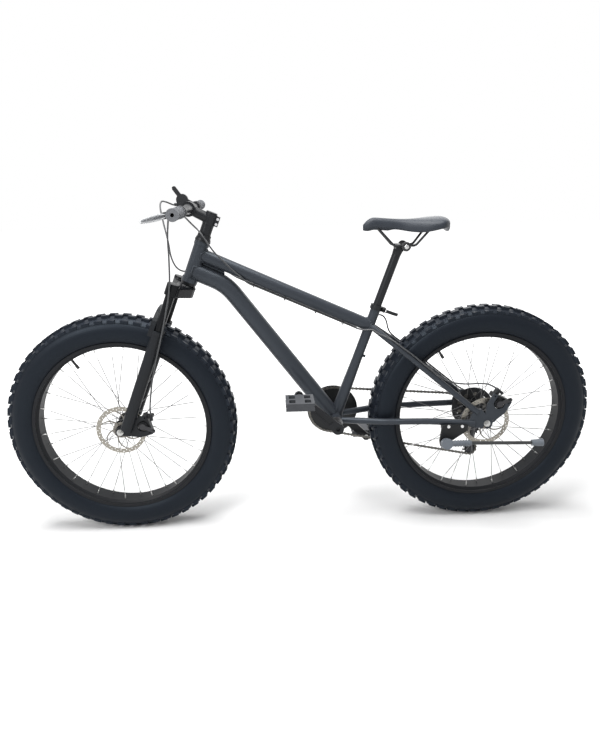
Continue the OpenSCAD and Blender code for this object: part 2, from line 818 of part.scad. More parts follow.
module chain() {
  color("#8f8b84") for (i = [0:2:links - 2]) {
    inner_link(roller(i), roller(i + 1));
    outer_link(roller(i + 1), roller((i + 2) % links));
  }
}

module toothed(n, first, tooth_h, flare) {
  r = pitch_r(n);
  difference() {
    circle(r = r + tooth_h, $fn = fine);
    for (i = [0:n - 1]) rotate(first + i * 360 / n) translate([r, 0]) {
      circle(r = valley_r, $fn = 24);
      polygon([[0, -valley_r], [4.5, -valley_r - flare], [4.5, valley_r + flare], [0, valley_r]]);
    }
  }
}

ring_t = 1.9;
guard_r = 87;
module chainring() {
  arm_r = 52;
  color("#1a1b1d") translate(bb) {
    side_plate(chain_y - ring_t / 2, chain_y + ring_t / 2) difference() {
      toothed(ring_teeth, touch(wheels[0], runs[0]), 3.2, 1.3);
      circle(r = 22, $fn = fine);
      for (i = [0:4]) rotate(i * 72 + 36) ring_window();
      for (i = [0:4]) rotate(i * 72) translate([arm_r, 0]) circle(r = 4 + seat, $fn = fine);
    }
    side_plate(chain_y + 4.6, chain_y + 6.6) difference() {
      circle(r = guard_r, $fn = fine);
      circle(r = 60, $fn = fine);
    }
    for (i = [0:4]) rotate([0, -i * 72 - 8, 0]) translate([68, 0, 0])
      cross_rod(chain_y + ring_t / 2, chain_y + 4.6, 4);
  }
}

// Window between two arms of the chainring
module ring_window() {
  difference() {
    circle(r = 68, $fn = fine);
    circle(r = 41, $fn = fine);
    rotate(22) translate([-100, -200]) square([200, 200]);
    mirror([0, 1]) rotate(22) translate([-100, -200]) square([200, 200]);
    translate([-100, -100]) square([100, 200]);
  }
}

cog_gap = 5;
cog_t = 1.8;
cogs = [cog_teeth + 8, cog_teeth + 4, cog_teeth + 2, cog_teeth, cog_teeth - 2,
  cog_teeth - 4, cog_teeth - 6];
module cassette() {
  color("#77746d") translate(rear_c) difference() {
    union() {
      for (i = [0:6]) {
        y = chain_y + (i - 3) * cog_gap;
        start = i == 3 ? valley(1, at_cog) : 5 * i;
        side_plate(y - cog_t / 2, y + cog_t / 2) toothed(cogs[i], start, 3.0, 1.4);
      }
      cross_rod(chain_y - 17, chain_y + 17.5, 21);
    }
    cross_rod(0, rear_old, driver_r + fit);
  }
}

crank_in = 94;
crank_t = 13;
arm_w = 30;
hub_in = 76;
function crank_end(angle) = crank_len * [cos(angle), sin(angle)];

module crank_arm(angle) {
  difference() {
    union() {
      side_plate(crank_in, crank_in + crank_t) rotate(angle) difference() {
        union() {
          circle(r = 19, $fn = fine);
          translate([crank_len, 0]) circle(r = 14, $fn = fine);
          polygon([[0, -17], [0, 17], [crank_len, 11.5], [crank_len, -11.5]]);
        }
        translate([crank_len, 0]) circle(r = 7.1, $fn = fine);
      }
      cross_rod(hub_in, crank_in + crank_t, 17);
    }
    cross_rod(0, crank_in + 6, spindle_d / 2 + seat);
    // Groove along the outer face
    side_plate(crank_in + crank_t - 2, crank_in + crank_t + 1) rotate(angle)
      polygon([[30, -7], [30, 7], [crank_len - 30, 4], [crank_len - 30, -4]]);
    cross_rod(crank_in + 5, crank_in + crank_t + 1, 7.5);
  }
}

module left_crank() {
  color("#17181a") translate(bb) mirror([0, 1, 0]) crank_arm(crank_angle);
}

module right_crank() {
  color("#17181a") translate(bb) {
    difference() {
      union() {
        crank_arm(crank_angle + 180);
        side_plate(chain_y + ring_t / 2, chain_y + 4.4) {
          circle(r = 24, $fn = fine);
          for (i = [0:4]) rotate(i * 72) {
            polygon([[0, -12], [0, 12], [52, 7], [52, -7]]);
            translate([52, 0]) circle(r = 8, $fn = fine);
          }
        }
        cross_rod(chain_y + 2, hub_in + 1, 20);
      }
      cross_rod(0, crank_in + 6, spindle_d / 2 + seat);
    }
    cross_rod(-crank_in - 6, crank_in + 6, spindle_d / 2);
    for (i = [0:4]) rotate([0, -i * 72, 0]) translate([52, 0, 0]) {
      cross_rod(chain_y - ring_t / 2, chain_y + 3, 4);
      cross_rod(chain_y + 4, chain_y + 6, 5.5);
    }
  }
}

pedal_in = 122;
pedal_axle_d = 12;
function pedal_at(side) =
  let (e = crank_end(crank_angle + (side > 0 ? 180 : 0))) [bb[0] + e[0], 0, bb[2] + e[1]];

module pedal_axle() {
  cross_rod(crank_in + 1, crank_in + crank_t, 7);
  cross_rod(crank_in + crank_t, crank_in + crank_t + 5, 9);
  cross_rod(crank_in + crank_t, pedal_in + pedal_w - 8, pedal_axle_d / 2);
}

module pedal_axles() {
  color("#8a8d91") {
    translate(pedal_at(1)) pedal_axle();
    translate(pedal_at(-1)) mirror([0, 1, 0]) pedal_axle();
  }
}

// Moulded platform pedal: a frame with pockets on both faces round a hollow core
module pedal() {
  half = pedal_len / 2;
  pocket = pedal_w / 2 - 16;
  difference() {
    side_plate(pedal_in, pedal_in + pedal_w) difference() {
      square([pedal_len, pedal_h], center = true);
      for (s = [-1, 1]) translate([s * half, 0]) rotate(45) square(6, center = true);
    }
    cross_rod(0, pedal_in + pedal_w - 7, pedal_axle_d / 2 + fit);
    for (sx = [-1, 1], k = [0, 1])
      translate([sx > 0 ? 14 : -half + 10, pedal_in + 10 + k * (pocket + 12), -pedal_h])
        cube([half - 24, pocket, 2 * pedal_h]);
    for (sx = [-1, 1], k = [0:2]) translate([sx * half, pedal_in + 18 + k * 24, 0])
      cube([8, 14, pedal_h - 10], center = true);
  }
}

module left_pedal() {
  color("#3a3c40") translate(pedal_at(-1)) mirror([0, 1, 0]) pedal();
}

module right_pedal() {
  color("#3a3c40") translate(pedal_at(1)) pedal();
}

// Rear derailleur

hanger = [rear_x + hanger_at[0], axle_z + hanger_at[1]];
cage_in = chain_y - 5.6;
cage_out = chain_y + 4.2;
plate_t = 1.4;
barrel_at = [guide[0] + 16, drop_in + drop_t + 4.5, guide[1] + 17];
module derailleur_body() {
  color("#151618") difference() {
    union() {
      translate([hanger[0], 0, hanger[1]]) {
        cross_rod(drop_in + drop_t, drop_in + drop_t + 9, 12);
        cross_rod(drop_in + 1, drop_in + drop_t + 1, hanger_hole / 2 - seat);
      }
      // Parallelogram: two links between the hanger knuckle and the cage knuckle
      side_plate(drop_in + drop_t, drop_in + drop_t + 3) link_bar(hanger, guide + [12, 14], 9);
      side_plate(drop_in + drop_t + 5, drop_in + drop_t + 8) link_bar(hanger, guide + [12, 14], 9);
      translate([guide[0], 0, guide[1]]) cross_rod(cage_out + plate_t + gap, drop_in + drop_t + 9, 11);
      side_plate(drop_in + drop_t, drop_in + drop_t + 9) link_bar(guide, guide + [12, 14], 8);
      rod(barrel_at, barrel_at + [16, 0, 0], 10);
    }
    rod(barrel_at + [4, 0, 0], barrel_at + [20, 0, 0], housing_d + 2 * loose);
    translate([guide[0], 0, guide[1]]) cross_rod(0, drop_in + drop_t, 4 + fit);
  }
}

module link_bar(a, b, r) {
  translate(a) circle(r = r, $fn = fine);
  translate(b) circle(r = r, $fn = fine);
  n = unit([a[1] - b[1], b[0] - a[0]]) * r;
  polygon([a + n, b + n, b - n, a - n]);
}

module cage_outline() {
  difference() {
    union() {
      link_bar(guide, tension, 8);
      translate(guide) circle(r = 11, $fn = fine);
      translate(tension) circle(r = 13, $fn = fine);
    }
    translate((guide + tension) / 2) circle(r = 4, $fn = fine);
  }
}

module derailleur_cage() {
  color("#1c1d1f") {
    side_plate(cage_in, cage_in + plate_t) cage_outline();
    side_plate(cage_out, cage_out + plate_t) cage_outline();
    for (p = [guide, tension]) translate([p[0], 0, p[1]])
      cross_rod(cage_in - 1.5, cage_out + plate_t - 0.2, 2.5);
    translate([guide[0], 0, guide[1]]) cross_rod(cage_out + plate_t, drop_in + drop_t - 1, 4);
  }
}

module pulley(first) {
  side_plate(chain_y - 1, chain_y + 1) difference() {
    toothed(pulley_teeth, first, 2.2, 3.4);
    circle(r = 2.5 + fit, $fn = fine);
  }
  side_plate(chain_y - 3.9, chain_y + 3.9) difference() {
    circle(r = 7, $fn = fine);
    circle(r = 2.5 + fit, $fn = fine);
  }
}

module guide_pulley() {
  color("#101113") translate([guide[0], 0, guide[1]]) pulley(valley(2, at_guide));
}

module tension_pulley() {
  color("#101113") translate([tension[0], 0, tension[1]]) pulley(valley(3, at_tension));
}

// Fork

crown_top = -cup_h - gap;
crown_h = 36;
arch_rise = 58;
// The arch stops short of the crown at the end of the travel
leg_top = crown_top - crown_h - travel - arch_rise - 9.7;
leg_bottom = -508;
stan_bottom = -330;

module at_legs() {
  both_sides() translate([-leg_fwd, leg_y, 0]) children();
}

module fork_crown() {
  color("#0c0d0f") in_fork() difference() {
    union() {
      translate([0, 0, crown_top - crown_h]) linear_extrude(crown_h - 6) crown_outline();
      translate([0, 0, crown_top - 8]) cylinder(h = 8, d1 = head_d + 12, d2 = head_d, $fn = fine);
      at_legs() translate([0, 0, crown_top - crown_h]) cylinder(h = crown_h + 2, r = 20, $fn = fine);
      translate([0, 0, crown_top - 8]) cylinder(h = steerer_len + 8 - crown_top, d = steerer_d, $fn = fine);
    }
    at_legs() translate([0, 0, crown_top - crown_h - 1])
      cylinder(h = crown_h - 2, d = stan_d + 2 * seat, $fn = fine);
    translate([0, 0, crown_top - crown_h - 1]) cylinder(h = 400, d = steerer_d - 5, $fn = fine);
  }
}

steerer_len = head_len + 85;
module crown_outline() {
  circle(r = 26, $fn = fine);
  polygon([[22, -16], [22, 16], [-14, leg_y + 6], [-leg_fwd - 14, leg_y + 4], [-leg_fwd - 18, leg_y - 10],
    [-34, 20], [-34, -20], [-leg_fwd - 18, -leg_y + 10], [-leg_fwd - 14, -leg_y - 4], [-14, -leg_y - 6]]);
}

module stanchions() {
  color("#0a0a0c") in_fork() at_legs() difference() {
    translate([0, 0, stan_bottom]) cylinder(h = crown_top - 3 - stan_bottom, d = stan_d, $fn = fine);
    translate([0, 0, stan_bottom - 1]) cylinder(h = 250, d = stan_d - 5, $fn = fine);
  }
}

stack_z = head_len + cup_h + gap;
stem_z = head_len + 53;
stem_h = 34;
module steerer_spacers() {
  count = 4;
  h = (stem_z - stack_z) / count;
  color("#111214") in_fork() {
    for (i = [0:count - 1]) translate([0, 0, stack_z + i * h]) difference() {
      cylinder(h = h - 0.1, r = i == 0 ? 21 : 18, $fn = fine);
      translate([0, 0, -1]) cylinder(h = h + 2, d = steerer_d + 2 * seat, $fn = fine);
    }
    translate([0, 0, stem_z + stem_h + 0.1]) cylinder(h = 4, r = 17, $fn = fine);
  }
}

bar_z = stem_z + 22;
module stem() {
  color("#0f1012") in_fork() difference() {
    union() {
      translate([0, 0, stem_z]) cylinder(h = stem_h, r = 19, $fn = fine);
      rod([-8, 0, stem_z + stem_h / 2], [-stem_reach + 8, 0, bar_z], 32, 30);
      translate([-stem_reach, 0, bar_z]) cross_rod(-22, 22, bar_clamp_d / 2 + 6);
      translate([14, -10, stem_z + 2]) cube([14, 20, stem_h - 4]);
    }
    translate([0, 0, stem_z - 1]) cylinder(h = stem_h + 2, d = steerer_d + 2 * seat, $fn = fine);
    translate([-stem_reach, 0, bar_z]) cross_rod(-40, 40, bar_clamp_d / 2 + seat);
    translate([10, -1, stem_z - 1]) cube([30, 2, stem_h + 2]);
  }
  // Two pinch bolts at the back of the steerer clamp
  color("#b5b7ba") in_fork() for (z = [stem_z + 9, stem_z + stem_h - 9])
    translate([23, 0, z]) cross_rod(-13.5, -10, 4);
}

module at_bar() {
  in_fork() translate([-stem_reach, 0, bar_z]) rotate([0, head_angle - 90, 0]) children();
}

module handlebar() {
  half = bar_w / 2;
  color("#0f1012") at_bar() difference() {
    union() {
      cross_rod(-half, half, bar_d / 2);
      cross_rod(-28, 28, bar_clamp_d / 2);
      both_sides() translate([0, 28, 0]) rotate([-90, 0, 0])
        cylinder(h = 60, d1 = bar_clamp_d, d2 = bar_d, $fn = fine);
    }
    cross_rod(-half - 1, half + 1, bar_d / 2 - 2.2);
  }
}

module grips() {
  color("#55575b") at_bar() both_sides() translate([0, bar_w / 2 - grip_len + 2, 0]) difference() {
    union() {
      cross_rod(0, grip_len, 15);
      cross_rod(0, 6, 17);
      cross_rod(grip_len - 7, grip_len, 16.5);
      for (i = [0:6]) cross_rod(14 + i * 14, 20 + i * 14, 15.8);
    }
    cross_rod(-1, grip_len - 2, bar_d / 2 + seat);
    cross_rod(0, grip_len + 1, 5);
  }
}

// Brake levers, drawn for the right hand and mirrored for the left
lever_tilt = -11;
pivot = [-36, 197];
module at_lever() {
  rotate([0, lever_tilt, 0]) children();
}

module lever_clamp() {
  at_lever() difference() {
    union() {
      cross_rod(184, 200, 17);
      translate([-46, 184, -9]) cube([36, 22, 18]);
      // Barrel that the cable housing starts from
      translate([-33, 170, 0]) cross_rod(0, 15, 5);
    }
    cross_rod(180, 210, bar_d / 2 + seat);
    translate([-60, 180 + 9, -3.3]) cube([34, 40, 6.6]);
    translate([-33, 168, 0]) cross_rod(0, 12, housing_d / 2 + loose);
  }
  at_lever() translate([pivot[0], pivot[1], -8]) cylinder(h = 16, d = 5, $fn = fine);
}

// Thumb shifter: a round pod in front of the bar, with a lever that stands up
pod = [-40, 22];
pod_in = 158;
pod_w = 18;
module shifter_pod() {
  difference() {
    union() {
      cross_rod(pod_in, pod_in + pod_w, 17);
      side_plate(pod_in + 3, pod_in + pod_w - 3) link_bar([0, 0], pod, 11);
      translate([pod[0], 0, pod[1]]) cross_rod(pod_in + 3, pod_in + pod_w, 19);
      translate([pod[0] - 10, pod_in + 9, pod[1] - 14]) rotate([0, -90, 0])
        cylinder(h = 16, d = 10, $fn = fine);
    }
    cross_rod(150, 190, bar_d / 2 + seat);
    translate([pod[0] - 20, pod_in + 9, pod[1] - 14]) rotate([0, -90, 0])
      cylinder(h = 12, d = housing_d + 2 * loose, $fn = fine);
    translate([pod[0], pod_in + pod_w - 6, pod[1]]) cross_rod(0, 10, 4 + fit);
  }
}

module shift_lever() {
  y = pod_in + pod_w + gap;
  color("#0c0d0f") at_bar() translate([pod[0], 0, pod[1]]) {
    cross_rod(pod_in + pod_w - 5.5, y + 6, 4);
    cross_rod(y, y + 5, 15);
    side_plate(y, y + 5) rotate(125) difference() {
      link_bar([0, 0], [44, 0], 7);
      translate([52, 14]) circle(r = 10, $fn = fine);
    }
  }
}

module lever_clamps() {
  color("#1a1b1d") at_bar() {
    both_sides() lever_clamp();
    shifter_pod();
  }
}

module brake_lever() {
  at_lever() translate([0, 0, -3]) linear_extrude(6) difference() {
    union() {
      translate(pivot) circle(r = 8, $fn = fine);
      polygon([[-43, 195], [-32, 203], [-46, 226], [-60, 252], [-74, 282], [-82, 304], [-88, 308],
        [-93, 302], [-84, 272], [-70, 242], [-56, 218]]);
    }
    translate(pivot) circle(r = 2.5 + fit, $fn = fine);
  }
}

module right_brake_lever() {
  color("#c2c4c7") at_bar() brake_lever();
}

module left_brake_lever() {
  color("#c2c4c7") at_bar() mirror([0, 1, 0]) brake_lever();
}

// Sliding legs of the fork, one casting with its arch
arch_low = -128;
arch_top = leg_top + arch_rise;
module fork_lowers() {
  color("#1d1f22") in_fork() difference() {
    union() {
      at_legs() {
        translate([0, 0, leg_bottom]) cylinder(h = leg_top - leg_bottom, d = leg_d, $fn = fine);
        translate([0, 0, leg_top - 12]) cylinder(h = 12, d = leg_d + 4, $fn = fine);
      }
      translate([-leg_fwd - leg_d / 2 - 9, 0, 0]) rotate([0, 0, 90]) rotate([90, 0, 0])
        linear_extrude(15) arch_outline();
      both_sides() side_plate(front_old / 2, front_old / 2 + fork_drop_t) fork_dropout();
      side_plate(-front_old / 2 - fork_drop_t, -front_old / 2)
        translate([-fork_rake, -fork_len]) rotate(front_cal_angle + 90 - head_angle) mount_tab();
    }
    at_legs() translate([0, 0, leg_bottom + 12])
      cylinder(h = arch_top - leg_bottom, d = stan_d + 2 * fit, $fn = fine);
    translate([-fork_rake, 0, -fork_len]) cross_rod(-200, 200, axle_d / 2 + fit);
    both_sides() translate([-fork_rake - axle_d / 2 - fit, front_old / 2 - 1, -fork_len - 30])
      cube([axle_d + 2 * fit, fork_drop_t + 2, 30]);
  }
}

module arch_outline() {
  outer = leg_y + 14;
  inner = leg_y - leg_d / 2 + 1;
  base = leg_top - 22;
  difference() {
    polygon([for (t = [0:10:180])
      [outer * power(cos(t), 0.8), base + (arch_top - base) * power(sin(t), 0.7)]]);
    polygon([for (t = [0:10:180])
      [inner * power(cos(t), 0.8), base - 1 + (arch_low - base) * power(sin(t), 0.7)]]);
  }
}

module fork_dropout() {
  translate([-fork_rake, -fork_len]) circle(r = 15, $fn = fine);
  polygon([[-leg_fwd + 14, leg_bottom + 14], [-leg_fwd - 17, leg_bottom + 14],
    [-fork_rake - 15, -fork_len], [-fork_rake, -fork_len - 15], [-leg_fwd + 10, leg_bottom - 4]]);
}

// Disc brake calipers, drawn with x pointing from the axle to the caliper
cal_in = 58;
cal_r = 76;
cal_out = 98;
cal_half = 17;
foot_half = 34;
foot_t = 14;
pad_gap = rotor_t + 1;
boss_r = 14;

// Tab of a dropout that carries a caliper by its two feet
module mount_tab() {
  difference() {
    polygon([[6, -14], [cal_in, -foot_half], [cal_out, -foot_half], [cal_out, -cal_half - 1],
      [cal_r, -cal_half - 1], [cal_r, cal_half + 1], [cal_out, cal_half + 1],
      [cal_out, foot_half], [cal_in, foot_half], [6, 14]]);
    translate([cal_r, 0]) circle(r = cal_half + 1, $fn = fine);
    for (s = [-1, 1]) translate([cal_out - foot_t / 2, s * (cal_half + foot_half) / 2])
      circle(r = 2.6, $fn = fine);
  }
}

cable_stop = [112, 22];
cable_turn = -101;
module caliper(y, face, tab_t) {
  stop_y = -face - tab_t - 2;
  difference() {
    union() {
      translate([cal_in, y - 12, -cal_half]) cube([cal_out - cal_in, 24, 2 * cal_half]);
      translate([cal_r, 0, 0]) cross_rod(-face - tab_t - gap, y + 14, boss_r);
      translate([cal_out - foot_t, -face + seat, -foot_half])
        cube([foot_t, y + 11 + face - seat, 2 * foot_half]);
      // Arm that carries the housing's stop past the tab
      side_plate(-face + seat, y + 6) link_bar([cal_out - 4, 24], cable_stop, 5);
      translate([cable_stop[0], 0, cable_stop[1]]) cross_rod(stop_y, y + 6, 5);
      translate([cable_stop[0], stop_y, cable_stop[1]]) rotate([0, 90 - cable_turn, 0])
        cylinder(h = 20, r = 5, center = true, $fn = fine);
    }
    translate([cable_stop[0], stop_y, cable_stop[1]]) rotate([0, 90 - cable_turn, 0]) {
      translate([0, 0, -20]) cylinder(h = 22, d = housing_d + 2 * loose, $fn = fine);
      cylinder(h = 30, d = 2.4, $fn = fine);
    }
    translate([0, y - pad_gap / 2, -60]) cube([rotor_r + 3, pad_gap, 120]);
    for (s = [-1, 1])
      translate([cal_out - foot_t / 2, -face - 1, s * (cal_half + foot_half) / 2])
        cross_rod(0, 14, 2.6);
  }
}

// Lever that squeezes the pads, with the clamp that holds the wire
arm_len = 36;
arm_turn = -41;
module caliper_arm(face, tab_t) {
  y = -face - tab_t - 2 * gap;
  translate([cal_r, 0, 0]) {
    side_plate(y - 3, y) rotate(arm_turn) link_bar([0, 0], [arm_len, 0], 6.5);
    cross_rod(y - 5, y, 10);
    rotate([0, -arm_turn, 0]) translate([arm_len, 0, 0]) cross_rod(y - 8, y, 4);
  }
}

front_cal_angle = 14;
rear_cal_angle = 62;
module at_caliper(c, angle) {
  translate(c) rotate([0, -angle, 0]) children();
}

module front_caliper() {
  color("#232427") at_caliper(front_c, front_cal_angle)
    caliper(front_rotor_y, front_old / 2, fork_drop_t);
}

module front_caliper_arm() {
  color("#2c2d30") at_caliper(front_c, front_cal_angle)
    caliper_arm(front_old / 2, fork_drop_t);
}

module rear_caliper() {
  color("#232427") at_caliper(rear_c, rear_cal_angle)
    caliper(rear_rotor_y, rear_old / 2, drop_t);
}

module rear_caliper_arm() {
  color("#2c2d30") at_caliper(rear_c, rear_cal_angle) caliper_arm(rear_old / 2, drop_t);
}

// Kickstand, bolted under the left chainstay and stowed pointing back
stand_x = rear_x - 137;
stand_z = axle_z - 62;
stand_y = -108;
stand_tilt = 20;
stand_boss = 13;
pivot_r = 7;
module at_stand() {
  translate([stand_x, stand_y, stand_z]) rotate([-stand_tilt, 0, 0]) children();
}

module kickstand_bracket() {
  color("#141518") difference() {
    union() {
      side_plate(stand_y - 3, stand_y + 5) translate([stand_x, stand_z])
        polygon([[-12, 64], [72, 64], [72, 44], [20, 8], [14, -10], [-14, -10], [-18, 8]]);
      translate([stand_x - 10, stand_y + 4, stand_z + 46]) cube([78, 20, 10]);
      at_stand() cross_rod(-stand_boss, 6, 14);
      at_stand() cross_rod(-stand_boss - 15, 0, pivot_r);
    }
    for (x = [8, 52]) translate([stand_x + x, 0, stand_z + 60])
      cross_rod(stand_y - 10, stand_y + 20, 3);
    cs_clear();
  }
  color("#b9bbbd") for (x = [8, 52]) translate([stand_x + x, 0, stand_z + 60])
    cross_rod(stand_y - 7, stand_y - 3, 5);
}

module cs_clear() {
  mirror([0, 1, 0]) bent_rod(cs_path, 90, cs_d + 0.6);
}

leg_len = 314;
module kickstand_leg() {
  y = -stand_boss - gap;
  color("#7d828a") at_stand() difference() {
    union() {
      cross_rod(y - 20, y, 18);
      rod([0, y - 10, 0], [80, y - 10, 0], 19.4, 16);
      for (i = [0:5]) rod([26 + i * 9, y - 10, 0], [30 + i * 9, y - 10, 0], 21);
      rod([79, y - 10, 0], [leg_len - 34, y - 10, -6], 11.5, 11);
      rod([leg_len - 36, y - 10, -6], [leg_len, y - 10, -6], 20, 25);
    }
    cross_rod(y - 16, y + 1, pivot_r + fit);
  }
}

// Seatpost and saddle

post_len = 350;
clamp_z = seat_len + post_out;
module seatpost() {
  color("#121316") in_seat() difference() {
    union() {
      translate([0, 0, clamp_z - post_len]) cylinder(h = post_len, d = post_d, $fn = fine);
      translate([0, 0, clamp_z]) cross_rod(-20, 20, 13);
      translate([0, 0, clamp_z - 22]) cylinder(h = 14, d1 = post_d, d2 = post_d + 4, $fn = fine);
    }
    translate([0, 0, clamp_z - post_len - 1]) cylinder(h = post_len - 30, d = post_d - 5, $fn = fine);
    translate([0, 0, clamp_z + rail_up]) rotate([0, seat_angle - 90, 0])
      for (s = [-1, 1]) translate([-60, s * rail_y, 0]) rotate([0, 90, 0])
        cylinder(h = 120, d = rail_d + 2 * seat, $fn = fine);
  }
}

rail_y = 22;
rail_d = 7;
rail_up = 9;
saddle_top = 1022;
rail_at = in_seat_at(0, 0, clamp_z + rail_up);
// Ends of a rail, and of its straight stretch in the clamp
rail_front = rail_at + [-74, 9, 56];
rail_rear = rail_at + [88, 34, 53];
flat_front = 22;
flat_rear = 44;

// Two steel rails, straight in the clamp and bent up to the saddle at both ends
module rail(d, more) {
  low_front = [rail_at[0] - flat_front, rail_y, rail_at[2]];
  low_rear = [rail_at[0] + flat_rear, rail_y, rail_at[2]];
  front = rail_front + more * unit(rail_front - low_front);
  rear = rail_rear + more * unit(rail_rear - low_rear);
  bent_rod([front, low_front, low_rear, rear], 16, d);
}

module saddle_rails() {
  color("#1a1b1d") both_sides() rail(rail_d, 0);
}

// Saddle: rings across it from nose to tail, crowned on top, drawn in at the sides and
// hollowed below
tail_back = 146;
saddle_x = rail_at[0] + tail_back;
saddle_rings = 22;
saddle_pts = 22;
function half_width(s) =
  saddle_w / 2 * (0.2 + 0.8 / (1 + exp(-13 * (s - 0.62)))) * pow(sin(min(90, 4 + s * 620)), 0.5)
  * pow(cos(max(0, s - 0.86) * 540), 0.6);
function top_line(s) = saddle_top - 7 * pow(sin(s * 180), 2) - 24 * pow(1 - min(1, s / 0.14), 2)
  - 10 * pow(max(0, s - 0.9) / 0.1, 2);
function depth(s) = 37 + 16 * pow(sin(180 * max(0, (s - 0.34) / 0.66)), 1.5)
  - 22 * pow(1 - min(1, s / 0.1), 2);
function hollow(s) = 20 * sin(180 * max(0, (s - 0.3) / 0.7));
function saddle_ring(s) = [for (k = [0:saddle_pts - 1])
  let (
    a = -90 + k * 360 / saddle_pts,
    up = sin(a) > 0 ? power(sin(a), 0.75) : power(sin(a), 0.55),
    h = depth(s) / 2
  )
  [saddle_x - saddle_len * (1 - s), half_width(s) * power(cos(a), 0.8) * (sin(a) < -0.3 ? 0.86 : 1),
    top_line(s) - h + h * up + hollow(s) * pow(max(0, -sin(a)), 2)]];

module saddle() {
  color("#2a2d33") difference() {
    skin([for (i = [0:saddle_rings - 1]) saddle_ring(0.004 + 0.992 * i / (saddle_rings - 1))]);
    both_sides() rail(rail_d + 2 * gap, gap);
  }
}

// Cable housings, along the routes that they take on the bike
housing_d = 5;
module front_brake_housing() {
  color("#161616") swept_tube(front_brake_route, 3, housing_d);
}

module rear_brake_housing() {
  color("#161616") swept_tube(rear_brake_route, 3, housing_d);
}

module shift_housing() {
  color("#161616") swept_tube(shift_route, 3, housing_d);
}

front_brake_route = [
  [-367, -179, 1049], [-367, -173, 1049], [-367, -164, 1049], [-370, -140, 1051], [-377, -118, 1044],
  [-383, -108, 1020], [-388, -104, 975], [-389, -103, 920], [-394, -103, 839],
  [-410, -103, 765], [-436, -100, 670], [-455, -93, 610], [-472, -83, 550],
  [-484, -77, 490], [-489.7, -75.5, 450], [-489.7, -75.5, 440], [-489.2, -75.5, 429],
  [-488.7, -75.5, 419]
];
rear_brake_route = [
  [-367, 179, 1049], [-367, 173, 1049], [-367, 164, 1049], [-374, 140, 1052], [-380, 108, 1051],
  [-374, 72, 1044], [-357, 38, 1034], [-334, 2, 1016], [-302, -25, 987], [-281, -32, 955],
  [-262, -33, 928], [-240, -30, 904], [-218, -26, 880], [-192, -23, 856], [-165, -15, 831],
  [-136, -8, 817], [-60, -8, 783], [60, -8, 729], [150, -8, 689], [180, -15, 677],
  [202, -25, 675], [222, -33, 677], [242, -43, 666], [280, -61, 649], [308, -76, 630],
  [349, -79, 599], [413, -86, 546], [462, -90, 515], [512, -95, 507], [552, -100, 509],
  [582, -103, 507], [604, -103, 497], [614, -103, 489], [620, -103, 484.4]
];
shift_route = [
  [-396, 167, 1063], [-401, 167, 1063], [-406, 167, 1063], [-424, 150, 1072], [-434, 120, 1074],
  [-435, 96, 1055], [-424, 70, 1008], [-411, 48, 955], [-404, 36, 912], [-390, 31, 880],
  [-368, 32, 866], [-338, 34, 870], [-305, 33, 883], [-268, 29, 883], [-235, 25, 866],
  [-200, 17, 845], [-136, 8, 817], [-60, 8, 783], [60, 8, 729], [150, 8, 689],
  [180, 15, 678], [203, 25, 682], [226, 27, 697], [247, 29, 711], [267, 37, 706],
  [281, 50, 687], [292, 66, 655], [308, 77, 632], [349, 80, 599], [413, 87, 546],
  [477, 94, 493], [529, 103, 450], [562, 112, 424], [600, 119, 402], [640, 121, 378],
  [668, 117, 345], [672, 110, 316], [661, 106, 301], [648, 105.5, 300], [632, 105.5, 300]
];

head_tube();
top_tube();
down_tube();
seat_tube();
chainstays();
seatstays();
headset();
bottom_bracket();
seat_collar();
rear_axle();
rear_caliper();
rear_caliper_arm();
kickstand_bracket();
derailleur_body();
rear_brake_housing();
shift_housing();
chain();
fork_crown();
stanchions();
steerer_spacers();
stem();
handlebar();
grips();
lever_clamps();
front_brake_housing();
fork_lowers();
front_axle();
front_caliper();
front_caliper_arm();
front_hub();
front_spokes();
front_rim();
front_tyre();
front_inner_tube();
front_rotor();
rear_hub();
rear_spokes();
rear_rim();
rear_tyre();
rear_inner_tube();
rear_rotor();
spoke_protector();
cassette();
left_crank();
right_crank();
chainring();
pedal_axles();
left_pedal();
right_pedal();
derailleur_cage();
guide_pulley();
tension_pulley();
kickstand_leg();
seatpost();
saddle_rails();
saddle();
seat_clamp_lever();
left_brake_lever();
right_brake_lever();
shift_lever();
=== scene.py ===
import math

import bmesh
import bpy
from mathutils import Matrix, Vector


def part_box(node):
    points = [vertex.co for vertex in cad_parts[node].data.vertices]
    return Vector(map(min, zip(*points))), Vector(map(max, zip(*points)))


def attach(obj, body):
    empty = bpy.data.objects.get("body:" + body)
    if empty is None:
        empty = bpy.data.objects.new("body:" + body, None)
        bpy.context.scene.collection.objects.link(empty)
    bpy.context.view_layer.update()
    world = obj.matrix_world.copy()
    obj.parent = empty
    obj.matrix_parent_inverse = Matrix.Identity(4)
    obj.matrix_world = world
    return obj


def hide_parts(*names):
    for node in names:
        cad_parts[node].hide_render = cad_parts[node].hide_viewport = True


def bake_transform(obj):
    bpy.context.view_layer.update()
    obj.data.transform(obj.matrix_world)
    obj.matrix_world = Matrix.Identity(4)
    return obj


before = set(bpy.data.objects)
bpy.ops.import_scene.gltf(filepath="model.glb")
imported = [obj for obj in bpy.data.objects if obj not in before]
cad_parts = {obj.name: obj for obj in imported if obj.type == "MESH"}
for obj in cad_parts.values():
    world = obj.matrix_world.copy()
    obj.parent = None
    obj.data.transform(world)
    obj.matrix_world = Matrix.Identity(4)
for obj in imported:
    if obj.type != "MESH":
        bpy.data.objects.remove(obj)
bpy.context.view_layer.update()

# Camera. It stands at the height of the handlebar, close on the left side of the
# bike, and looks a little down at the middle of the frame.
eye = Vector((-0.09955, -1.90562, 1.13295))
yaw, pitch, roll = 0.0476, 0.3095, -0.0154
ahead = Vector((math.sin(yaw) * math.cos(pitch), math.cos(yaw) * math.cos(pitch), -math.sin(pitch)))
